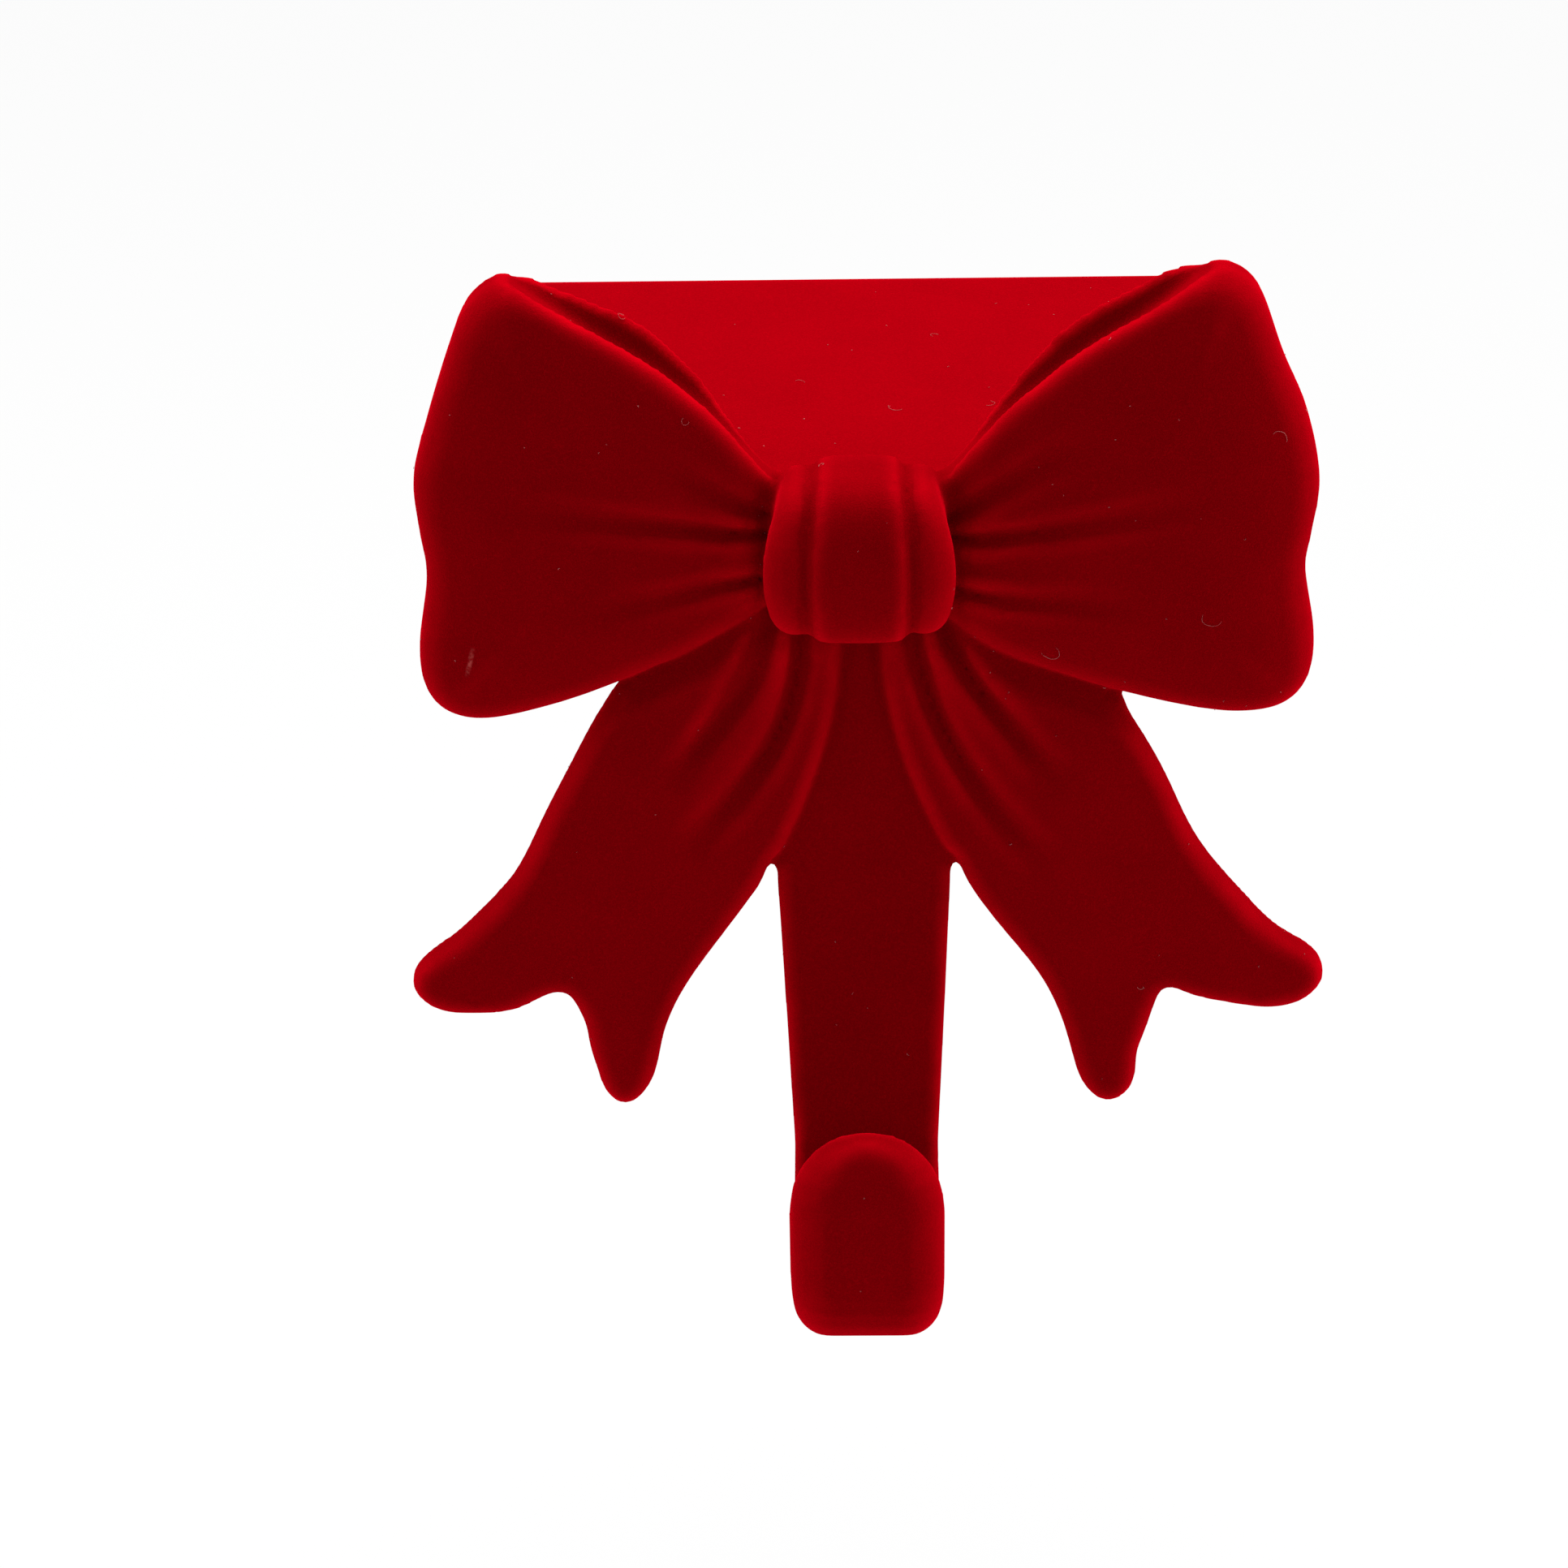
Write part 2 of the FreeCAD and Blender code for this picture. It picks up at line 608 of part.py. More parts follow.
def make_tail(name, side, shares, pleats):
    """One tail of the bow, with its forked end and its pleats."""
    reach = size(f"{name}_tail_reach")
    fall = size("tail_fall")
    back = size("bow_back")
    points = trace(shares, side, reach, fall, fall)
    thick = [(0.0, size("tail_thick") - 1.0), (0.3, size("tail_thick")), (1.1, size("tail_thick") - 0.5)]
    ribbon = Ribbon(points, side, 1, -fall, 0.09, 0.74, thick, size("tail_crown"))
    solid = ribbon_solid(f"{name}_tail", ribbon, back, size("tail_round"))
    tools = []
    for number, line in enumerate(pleats, start=1):
        tools.append(make_pleat(f"{name}_tail_pleat_{number}", ribbon, back, line, reach, fall, fall))
    return cut_from(f"{name}_tail_cut", solid, tools)


def make_knot():
    """The knot: three bands of ribbon pulled tight, the middle one the fullest."""
    half = size("knot_width") / 2
    depth = size("knot_depth") / 2
    height = size("knot_height") / 2
    level = size("knot_level")
    centre = -(size("knot_back") + depth)
    band = size("knot_band") / 2
    groove = 1 - size("knot_groove") / depth
    taper = size("knot_taper")
    bands = [(band * part, share) for part, share in KNOT_MIDDLE]
    bands.append((band, GROOVE_FULLNESS * groove))
    bands += [(band + (half - band) * part, share) for part, share in KNOT_SIDE]
    bands = [(-place, share) for place, share in reversed(bands[1:])] + bands
    wires = []
    for place, share in bands:
        points = []
        for number in range(KNOT_POINTS):
            turn = 2 * math.pi * number / KNOT_POINTS
            out = math.copysign(abs(math.cos(turn)) ** KNOT_POWER, math.cos(turn))
            up = math.copysign(abs(math.sin(turn)) ** KNOT_POWER, math.sin(turn))
            points.append((
                place * (1 - taper * share * up), centre - depth * share * out, level + height * share * up,
            ))
        wires.append(Part.Wire([spline(points, True).toShape()]))
    return feature("knot", Part.makeLoft(wires, True, True))


def make_grip_pad():
    """The thin pad that grips the mantel, stuck under the plate."""
    body = doc.addObject("PartDesign::Body", "grip_pad")
    outline = sketch_on(body, "pad_outline", "XY_Plane")
    side = "sizes.plate_width / 2 - sizes.pad_margin"
    rectangle(outline, f"-({side})", side, "sizes.pad_setback", "sizes.plate_depth - sizes.pad_margin")
    slab = pad(body, "pad_slab", outline, "sizes.pad_thick")
    body.Tip = fillet(
        body, "pad_corners", slab,
        lambda box: near(box.XMin, box.XMax) and near(box.YMin, box.YMax),
        "sizes.pad_corner",
    )
    return body

bow = [
    make_loop("left", -1, LEFT_LOOP, LEFT_LOOP_PLEATS),
    make_loop("right", 1, RIGHT_LOOP, RIGHT_LOOP_PLEATS),
    make_tail("left", -1, LEFT_TAIL, LEFT_TAIL_PLEATS),
    make_tail("right", 1, RIGHT_TAIL, RIGHT_TAIL_PLEATS),
    make_knot(),
]
casting = doc.addObject("Part::MultiFuse", "holder_casting")
casting.Shapes = [make_bracket(), make_hook()] + bow
casting.Refine = True
casting.Label = "holder_casting"
grip_pad = make_grip_pad()
grip_pad.Label = "grip_pad"
doc.recompute()

for item in doc.Objects:
    if "Invalid" in item.State or "Error" in item.State:
        raise RuntimeError(f"{item.Name} failed: {item.State}")
os.makedirs("parts", exist_ok=True)
for item in (casting, grip_pad):
    if item.Shape.isNull() or not item.Shape.isValid() or len(item.Shape.Solids) != 1:
        raise RuntimeError(f"{item.Label} is not one sound solid")
for item in (casting, grip_pad):
    item.Shape.exportStep(f"parts/{item.Label}.step")
    print(item.Label, round(item.Shape.Volume), "mm3")
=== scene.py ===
"""A bow-shaped mantel stocking holder: one casting in red flock on a thin grip pad."""

import math
import random

import bmesh
import bpy
import numpy as np
from bpy.props import FloatProperty, FloatVectorProperty, IntProperty, PointerProperty
from mathutils import Matrix, Vector
from mathutils.bvhtree import BVHTree


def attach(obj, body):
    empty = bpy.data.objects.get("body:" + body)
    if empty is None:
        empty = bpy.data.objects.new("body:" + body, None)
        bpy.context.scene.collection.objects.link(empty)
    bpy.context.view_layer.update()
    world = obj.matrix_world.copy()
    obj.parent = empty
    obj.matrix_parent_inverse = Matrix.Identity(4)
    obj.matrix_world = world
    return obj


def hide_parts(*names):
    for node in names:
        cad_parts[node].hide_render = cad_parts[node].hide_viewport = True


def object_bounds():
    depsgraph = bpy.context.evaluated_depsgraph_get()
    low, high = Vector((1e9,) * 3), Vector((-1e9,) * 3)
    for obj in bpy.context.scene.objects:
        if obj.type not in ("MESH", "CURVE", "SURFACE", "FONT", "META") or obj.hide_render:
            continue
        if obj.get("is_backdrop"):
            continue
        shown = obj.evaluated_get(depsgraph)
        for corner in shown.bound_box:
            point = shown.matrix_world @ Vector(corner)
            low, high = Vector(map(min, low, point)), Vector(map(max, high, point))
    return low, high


bl_info = {
    "name": "Flocked Bow Stocking Holder",
    "version": (1, 0, 0),
    "blender": (4, 5, 0),
    "location": "View3D > Sidebar > Holder",
    "description": "Dresses the bow-shaped mantel holder in red flock and sets its stage",
    "category": "Object",
}

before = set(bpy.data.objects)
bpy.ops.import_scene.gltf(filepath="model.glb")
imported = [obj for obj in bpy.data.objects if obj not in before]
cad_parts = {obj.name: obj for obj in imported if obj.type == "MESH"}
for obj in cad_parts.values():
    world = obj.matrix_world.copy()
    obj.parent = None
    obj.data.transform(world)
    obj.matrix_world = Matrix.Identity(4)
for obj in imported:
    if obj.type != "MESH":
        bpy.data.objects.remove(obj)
CAD_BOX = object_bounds()
MM_PER_M = 1000

# The camera, fitted to the photograph: its lens and height, and the pixel where its aim point shows.
PICTURE = 1932
LENS_MM = 85.0
SENSOR_MM = 36.0
FOCAL_PIXELS = LENS_MM / SENSOR_MM * PICTURE
CAMERA_ELEVATION = math.radians(28.0)
CAMERA_ROLL = math.radians(-0.45)
CAMERA_DISTANCE = 0.72585
AIM_POINT = Vector((0.0, -0.010, -0.060))
AIM_PIXEL = (1063.0, 985.0)

# Where loose fibres lie on the front, as pixels of the picture, with their length in millimetres.
FIBRE_SPOTS = [
    ((1300, 797), 7.0), ((1505, 765), 6.0), ((1585, 545), 4.5), ((1095, 500), 5.0),
    ((1150, 415), 3.5), ((980, 470), 3.0), ((1215, 500), 4.0), ((842, 515), 3.0),
    ((1408, 1215), 2.0), ((770, 392), 3.5), ((1010, 575), 2.5),
]
SPECK_SPOTS = [
    (1020, 425), (1375, 542), (1052, 1222), (1061, 1592), (1357, 1330), (554, 512), (1409, 1217),
    (746, 548), (1268, 376), (905, 400), (1093, 402), (1170, 452), (560, 1180), (1465, 1040),
    (1030, 1160), (1120, 1300), (690, 700), (1480, 640), (1240, 860), (860, 900), (1552, 1190),
]
SCUFF_PIXELS = ((583, 797), (575, 836))
SPECK_COUNT = 150
SEED = 7

# Lint in metres: how thick, how long a speck is, how high it lies, and how a fibre curls in radians.
FIBRE_RADIUS = 0.00004
SPECK_RADIUS = 0.00006
SPECK_LENGTH = (0.0003, 0.0008)
FIBRE_LIFT = 0.00012
FIBRE_STEPS = 16
FIBRE_CURL = (0.12, 0.38)
FIBRE_WANDER = 0.25
THREAD_SIDES = 3
THREAD_TAPER = 0.35
SPECK_SKIP = 4

# The front layer of each loop, in millimetres as x and z: its outline from the knot along the lower
# rim, up the outer edge and back along the upper rim, and which points are its two outer corners.
LEFT_LOOP = {
    "outline": [
        (-12.0, -16.2), (-22.7, -21.8), (-31.4, -27.0), (-45.7, -34.0), (-58.4, -38.9), (-71.5, -42.1),
        (-79.5, -41.1), (-84.3, -36.1), (-85.2, -27.0), (-82.9, -12.2), (-83.7, -2.9), (-84.2, 8.0),
        (-81.1, 19.4), (-76.1, 33.9), (-72.2, 42.6), (-66.5, 46.9), (-62.5, 46.2), (-59.2, 44.5),
        (-52.0, 40.2), (-45.2, 36.2), (-38.5, 31.8), (-33.5, 27.8), (-29.0, 23.7), (-25.6, 20.0),
        (-20.5, 13.5), (-16.5, 8.4), (-12.0, 2.5),
    ],
    "corners": (6, 15),
}
RIGHT_LOOP = {
    "outline": [
        (12.0, -18.2), (18.4, -23.8), (27.8, -29.3), (37.2, -33.0), (49.1, -37.2), (63.9, -41.0),
        (73.8, -42.0), (81.4, -40.3), (85.9, -35.0), (86.7, -26.0), (84.4, -12.2), (85.1, -5.4),
        (86.2, 6.2), (83.4, 19.3), (78.5, 30.6), (74.4, 41.7), (71.2, 46.2), (66.5, 48.2), (61.6, 46.9),
        (59.5, 45.5), (56.0, 43.2), (50.5, 39.8), (45.0, 36.6), (39.3, 32.7), (33.7, 28.0), (28.0, 22.9),
        (22.3, 16.6), (16.5, 9.0), (12.0, 2.5),
    ],
    "corners": (7, 17),
}
LOOPS = ((-1, LEFT_LOOP), (1, RIGHT_LOOP))
OUTLINE_STEPS = 1000
LOOP_STEPS = (90, 72)

# The front layer's face, in millimetres: how far forward its rims stand, how it domes between them,
# how its rims are rounded, how it falls towards the outer edge and sinks beside the knot.
RIM_LEVEL = 14.0
DOME = 3.2
DOME_WIDTH = 13.0
RIM_ROUND = 1.4
EDGE_ROUND = 4.2
BLUNT_SHARE = 0.15
OUTER_FALL = 2.4
OUTER_WIDTH = 8.0
KNOT_SIDE = 17.0
SIDE_SINK = 2.0
SIDE_WIDTH = 3.6

# The layers behind that face, in millimetres forward of the mantel's front: the front layer's back,
# the core between the layers with its inset below the upper rim, and the rear layer's front.
THINNEST = 0.3
LAYER_BACK = 11.0
CORE_FRONT = 13.0
CORE_BACK = 2.6
CORE_INSET = 3.4
CORE_SPAN = (-0.05, 1.02)
CORE_TAPER = 0.7
BACK_LAYER = 3.9

# Where the casting's own bow is cut back, in millimetres: up to its top, and down to the lower rim,
# which runs level under the knot. The cut ends over the rim at the tails and under it farther out.
BOW_TOP = 60.0
RIM_UNDER_KNOT = -20.5
RIM_BEYOND = (100.0, -43.0)
RIM_SKIP = 4
TAIL_OVERLAP = 0.5
RIM_MARGIN = 0.6
TAILS_END = (58.0, 62.0)

# The tails, in millimetres: where their face lies, and how far it sinks under the loops' lower rims.
TAIL_FACE = (6.0, 9.0)
TAIL_INNER = 2.5
TAIL_PLEATS_END = -82.0
TAIL_SINK = 2.0
TAIL_SINK_REACH = 9.0

# The strap and the hook's tip, in millimetres: how far the strap leans to the right on its way down,
# and how the tip narrows towards its foot, as shares of its width.
STRAP_SHIFT = 0.2
STRAP_REACH = 22.0
STRAP_SPAN = (50.0, 120.0)
TIP_FACE = -20.0
TIP_TOP = -95.0
TIP_MIDDLE = 0.3
TIP_SIDES = 0.006
TIP_NARROWING = 0.055
TIP_SPAN = (142.0, 160.0)

# The gaps between the tails and the strap, in millimetres: where their tops lie, and how far they
# are spread and raised there, because meshing anew closes what is narrow.
WEDGE_TOP = (17.6, -76.6)
WEDGE_WIDTH = 3.2
WEDGE_SPREAD = 0.32
WEDGE_RISE = 1.6
WEDGE_FACE = -0.5

# Small shifts of the outlines of the tails and of the loops' rear layer, in millimetres: where, how
# wide, and how far in x and z. Those of the tails fade out at the loops' lower rims.
TAIL_NUDGES = [
    (-53.0, -56.0, 14.0, 0.8, -0.5), (-71.0, -79.0, 12.0, 0.7, -0.8), (-84.0, -92.5, 8.0, 0.3, -1.2),
    (-59.0, -107.5, 4.0, -0.3, 1.6), (-72.0, -111.5, 9.0, 0.0, 0.8), (-54.0, -118.0, 4.0, -0.6, 0.0),
    (50.0, -45.0, 12.0, -0.9, -0.4), (66.0, -72.0, 12.0, -0.5, -0.5), (84.0, -92.5, 9.0, -0.3, -1.2),
    (72.0, -110.5, 10.0, 0.0, 0.9), (57.5, -121.0, 6.0, -1.5, 0.0), (60.0, -107.0, 4.0, 0.2, 1.0),
]
TAIL_NUDGES_FROM = 20.0
TAIL_NUDGES_FACE = 0.5
TAIL_NUDGES_FADE = (1.0, 6.0)
BACK_NUDGES = [
    (74.5, 41.0, 8.0, -1.2, 0.0), (84.0, 22.0, 9.0, -0.8, 0.0), (-79.0, 27.0, 10.0, 0.7, 0.0),
]

# Pleats in millimetres as x and z, from the knot outwards, each with its width and its depth.
LOOP_PLEATS = [
    ([(-16.5, -2.4), (-34.0, 0.5), (-47.2, 2.2), (-63.3, 4.5), (-72.0, 5.7)], 2.2, 2.3),
    ([(-17.5, 1.4), (-24.5, 5.2), (-31.8, 9.3), (-37.4, 12.4), (-47.0, 16.8)], 2.6, 1.6),
    ([(-16.5, -10.8), (-28.5, -12.1), (-38.3, -14.2), (-52.0, -16.0)], 2.2, 2.4),
    ([(-16.5, -16.4), (-22.0, -19.0), (-29.0, -21.6)], 1.5, 0.9),
    ([(16.0, -3.8), (28.3, -1.8), (40.7, 0.3), (52.9, 2.6), (70.0, 6.0)], 2.2, 2.3),
    ([(15.5, -0.6), (23.6, 5.6), (31.1, 10.6), (40.4, 15.5), (50.0, 19.6)], 2.6, 1.9),
    ([(16.0, -14.0), (28.5, -15.3), (40.0, -15.6), (54.0, -16.3)], 2.2, 2.4),
    ([(16.0, -9.0), (24.0, -8.6), (33.0, -7.6)], 1.6, 0.8),
]
TAIL_PLEATS = [
    ([(-15.5, -21.0), (-17.6, -26.0), (-21.5, -35.1), (-28.8, -45.6), (-38.5, -57.5)], 2.3, 2.5),
    (
        [(-11.0, -21.0), (-12.0, -28.0), (-13.9, -37.8), (-17.8, -48.3), (-25.2, -59.9), (-35.5, -72.5)],
        2.3, 2.6,
    ),
    ([(14.0, -21.0), (16.4, -26.2), (22.4, -36.4), (31.1, -47.9), (39.5, -58.5)], 2.3, 2.5),
    (
        [(9.8, -21.0), (10.9, -28.2), (13.8, -39.8), (19.3, -52.2), (27.4, -64.9), (38.0, -76.5)],
        2.3, 2.6,
    ),
]
PLEAT_STEPS = 120
PLEAT_START = 0.7
PLEAT_SPREAD = 0.9
PLEAT_RIDGE = 0.45
LOOP_PLEAT_FADE = 0.85
TAIL_PLEAT_FADE = 0.8

# How far the back layer's upper rim stands above the casting's, as x and rise in millimetres.
BACK_RIM = [
    (-80.0, 0.0), (-74.0, -1.6), (-66.0, -2.4), (-61.0, -0.6), (-52.6, 1.4), (-45.6, 2.3), (-38.9, 3.3),
    (-33.9, 3.2), (-29.3, 3.0), (-25.9, 1.8), (-22.0, 0.5), (22.0, 0.3), (25.5, 0.0), (31.2, 0.0),
    (37.0, 1.3), (42.6, 1.6), (48.3, 1.7), (53.9, 1.5), (57.6, 0.7), (62.5, -1.6), (67.0, -2.7),
    (74.0, -1.8), (80.0, 0.0),
]
BACK_RIM_REACH = 9.0
BACK_RIM_TOP = 1.0
BACK_RIM_FACE = -1.2
BACK_RIM_FOOT = 8.0

# The knot, in millimetres and shares: half its width, height and depth, its centre, where its two
# grooves lie and how deep and wide they are, how much lower its side bands are, how round its ends
# are, how square its section is, and how it narrows upwards and towards its top and foot.
KNOT_HALF = (18.1, 17.1, 13.0)
KNOT_CENTRE = (-0.3, -14.0, -4.7)
KNOT_BAND = 9.7
KNOT_GROOVE = 1.15
KNOT_GROOVE_WIDTH = 1.0
KNOT_SIDE_LEVEL = 0.925
KNOT_BLEND = 1.0
KNOT_FALL = 0.02
KNOT_ROUND = 5.0
KNOT_SQUARE = 0.66
KNOT_TAPER = 0.045
KNOT_BARREL = 0.11
KNOT_STEPS = (61, 72)

# The casting is first meshed at this share of the flock's grain.
FIRST_GRAIN = 0.8

# The flock's look: the fine and broad sizes of its unevenness in metres, where the surface's
# pointiness counts as an edge, which gets a painted highlight, or a hollow, which gets painted shade,
# which part of the unevenness shows as brushed patches and as fibre tips, and how far each of these
# goes.
FLOCK_GRAIN = (0.00035, 0.014)
RIM_HIGHLIGHT_RANGE = (0.503, 0.535)
HOLLOW_SHADE_RANGE = (0.494, 0.44)
HOLLOW_SHADE_SHARE = 0.75
HOLLOW_SHADE_DARKNESS = 0.35
BRUSHED_RANGE = (0.35, 0.65)
BRUSHED_SHARE = 0.30
BRUSHED_DARKNESS = 0.72
TIPS_RANGE = (0.45, 0.75)
TIPS_SHARE = 0.28
ROUGH_RANGE = (0.3, 0.7)
FLOCK_ROUGHNESS = (0.88, 1.0)
FLOCK_BUMP = (0.55, 0.0003)
SHEEN = 0.9
SHEEN_ROUGHNESS = 0.42

# The scuff on the left loop: its colour and strength, and in metres how its sides and ends fade.
SCUFF_COLOUR = (0.62, 0.10, 0.09, 1.0)
SCUFF_SHARE = 0.6
SCUFF_SIDES = (0.0001, 0.0006)
SCUFF_ENDS = (0.0016, 0.0034)
SCUFF_FINENESS = 1400.0
SCUFF_PATCHES = (0.42, 0.62)

# The pad's rubber with its dust, and the two colours of the lint.
PAD_GRAIN = (0.0008, 0.02)
PAD_ROUGHNESS = (0.72, 0.92)
PAD_BUMP = (0.35, 0.0002)
DUST_COLOUR = (0.085, 0.075, 0.072, 1.0)
DUST_RANGE = (0.45, 0.75)
DUST_SHARE = 0.5
LINT_GRAIN = (0.0010, 0.006)
LINT_RANGE = (0.4, 0.6)
LINT_COLOURS = ((0.42, 0.045, 0.05, 1.0), (0.55, 0.18, 0.17, 1.0))
LINT_ROUGHNESS = 0.8

# The stage, in metres: half the floor's width, how far the floor shows white instead of its shade,
# and each lamp's place and size. The side lamps point at the middle of the part.
FLOOR_HALF = 4.0
FLOOR_COLOUR = (0.86, 0.86, 0.86, 1.0)
FLOOR_WHITE = 0.94
WHITE = (1.0, 1.0, 1.0, 1.0)
TOP_LAMP_PLACE = (0.0, 0.25, 0.95)
TOP_LAMP_TARGET = (0.0, 0.02, 0.0)
TOP_LAMP_SIZE = (0.9, 0.7)
LEFT_LAMP_PLACE = (-0.85, 0.05, 0.25)
RIGHT_LAMP_PLACE = (0.85, 0.05, 0.25)
SIDE_LAMP_SIZE = (0.5, 0.8)


class FlockSettings(bpy.types.PropertyGroup):
    """The flock on the casting."""

    colour: FloatVectorProperty(
        name="Flock", description="Colour of the flock where it is looked at straight",
        subtype="COLOR", size=3, min=0.0, max=1.0, default=(0.235, 0.0, 0.002),
    )
    # Painted highlight: this brighter red stands in for light catching the rounded edges; it also tints
    # the fibre tips.
    rim_highlight_and_tip_colour: FloatVectorProperty(
        name="Raised flock", description="Colour of the flock on rounded edges",
        subtype="COLOR", size=3, min=0.0, max=1.0, default=(0.52, 0.0, 0.005),
    )
    sheen_colour: FloatVectorProperty(
        name="Nap sheen", description="Colour of the fibre tips seen from the side",
        subtype="COLOR", size=3, min=0.0, max=1.0, default=(1.0, 0.0, 0.012),
    )
    grain: FloatProperty(
        name="Surface grain", description="Spacing of the points of the flocked surface",
        subtype="DISTANCE", unit="LENGTH", default=0.00106, min=0.0008, max=0.003,
    )
    softness: IntProperty(
        name="Softness", description="How often the flocked surface is smoothed",
        default=3, min=0, max=30,
    )
    nap: FloatProperty(
        name="Nap", description="Thickness that the flock adds over the casting",
        subtype="DISTANCE", unit="LENGTH", default=0.0001, min=0.0, max=0.002,
    )


class PadSettings(bpy.types.PropertyGroup):
    """The grip pad under the plate."""

    colour: FloatVectorProperty(
        name="Pad", description="Colour of the pad's rubber",
        subtype="COLOR", size=3, min=0.0, max=1.0, default=(0.028, 0.027, 0.027),
    )


class StageSettings(bpy.types.PropertyGroup):
    """The floor, the lamps and the camera."""

    floor_drop: FloatProperty(
        name="Floor below hook", description="Height of the hook's underside above the floor",
        subtype="DISTANCE", unit="LENGTH", default=0.14, min=0.0, max=1.0,
    )
    top_power: FloatProperty(
        name="Top lamp", description="Power of the soft lamp over the plate",
        subtype="POWER", unit="POWER", default=12.0, min=0.0,
    )
    left_power: FloatProperty(
        name="Left lamp", description="Power of the soft lamp on the left",
        subtype="POWER", unit="POWER", default=3.0, min=0.0,
    )
    right_power: FloatProperty(
        name="Right lamp", description="Power of the soft lamp on the right",
        subtype="POWER", unit="POWER", default=5.5, min=0.0,
    )
    sky: FloatProperty(
        name="Surrounding light", description="Strength of the even light from all round",
        default=0.35, min=0.0, max=2.0,
    )


def link(obj):
    """The object, linked to the scene."""
    bpy.context.scene.collection.objects.link(obj)
    return obj


def baked(obj):
    """The object with its modifiers taken into its mesh."""
    evaluated = obj.evaluated_get(bpy.context.evaluated_depsgraph_get())
    mesh = bpy.data.meshes.new_from_object(evaluated)
    obj.modifiers.clear()
    obj.data = mesh
    return obj


def shade_smooth(mesh):
    """Every face of the mesh shaded smooth."""
    mesh.polygons.foreach_set("use_smooth", [True] * len(mesh.polygons))


def new_material(name):
    """An empty node material, with its tree and its Principled shader."""
    material = bpy.data.materials.new(name)
    material.use_nodes = True
    tree = material.node_tree
    tree.nodes.clear()
    output = tree.nodes.new("ShaderNodeOutputMaterial")
    shader = tree.nodes.new("ShaderNodeBsdfPrincipled")
    tree.links.new(shader.outputs["BSDF"], output.inputs["Surface"])
    return material, tree, shader


def add_node(tree, kind, values=None, **settings):
    """A node with its settings, and its inputs set or linked by name or number."""
    node = tree.nodes.new(kind)
    for name, value in settings.items():
        setattr(node, name, value)
    for key, value in (values or {}).items():
        if isinstance(value, bpy.types.NodeSocket):
            tree.links.new(value, node.inputs[key])
        else:
            node.inputs[key].default_value = value
    return node


def blended(tree, factor, first, second):
    """The colour socket of a mix of two colours."""
    node = add_node(tree, "ShaderNodeMix", data_type="RGBA")
    for socket, value in ((node.inputs[0], factor), (node.inputs[6], first), (node.inputs[7], second)):
        if isinstance(value, bpy.types.NodeSocket):
            tree.links.new(value, socket)
        else:
            socket.default_value = value
    return node.outputs[2]


def remapped(tree, value, low, high, to_low, to_high):
    """The value moved from one range to another, and held inside it."""
    node = add_node(
        tree, "ShaderNodeMapRange",
        {"Value": value, "From Min": low, "From Max": high, "To Min": to_low, "To Max": to_high},
    )
    return node.outputs["Result"]


def summed(tree, operation, first, second):
    """The result of one sum on two values."""
    return add_node(tree, "ShaderNodeMath", {0: first, 1: second}, operation=operation).outputs[0]


def grain_group():
    """A node group: fine and broad unevenness, for the flock's nap and the pad's texture."""
    group = bpy.data.node_groups.new("surface_grain", "ShaderNodeTree")
    face = group.interface
    for name, default in (("Fine Size", 0.0004), ("Broad Size", 0.012)):
        socket = face.new_socket(name, in_out="INPUT", socket_type="NodeSocketFloat")
        socket.default_value = default
    for name in ("Fine", "Broad", "Height"):
        face.new_socket(name, in_out="OUTPUT", socket_type="NodeSocketFloat")
    entry = group.nodes.new("NodeGroupInput")
    leave = group.nodes.new("NodeGroupOutput")
    place = group.nodes.new("ShaderNodeTexCoord").outputs["Object"]

    def cloud(size, detail, rough):
        """Noise whose blotches have this size."""
        scale = summed(group, "DIVIDE", 1.0, size)
        values = {"Vector": place, "Scale": scale, "Detail": detail, "Roughness": rough}
        return add_node(group, "ShaderNodeTexNoise", values).outputs["Fac"]

    fine = cloud(entry.outputs["Fine Size"], 2.0, 0.6)
    broad = cloud(entry.outputs["Broad Size"], 3.0, 0.55)
    fine_part = summed(group, "MULTIPLY", fine, 0.7)
    height = summed(group, "ADD", fine_part, summed(group, "MULTIPLY", broad, 0.3))
    for name, value in (("Fine", fine), ("Broad", broad), ("Height", height)):
        group.links.new(value, leave.inputs[name])
    return group


def surface_grain(tree, fine, broad):
    """The grain group placed in a material with its own sizes."""
    group = bpy.data.node_groups.get("surface_grain") or grain_group()
    node = add_node(tree, "ShaderNodeGroup", node_tree=group)
    node.inputs["Fine Size"].default_value = fine
    node.inputs["Broad Size"].default_value = broad
    return node


def rgba(colour):
    """A colour with full alpha."""
    return (*colour, 1.0)


def darker(colour, share):
    """The colour brought down to a share of itself."""
    return tuple(part * share for part in colour)


def add_bump(tree, shader, height, strength, depth):
    """Bumps the shader's normal by a height socket."""
    bump = add_node(tree, "ShaderNodeBump", {"Height": height, "Strength": strength, "Distance": depth})
    tree.links.new(bump.outputs["Normal"], shader.inputs["Normal"])


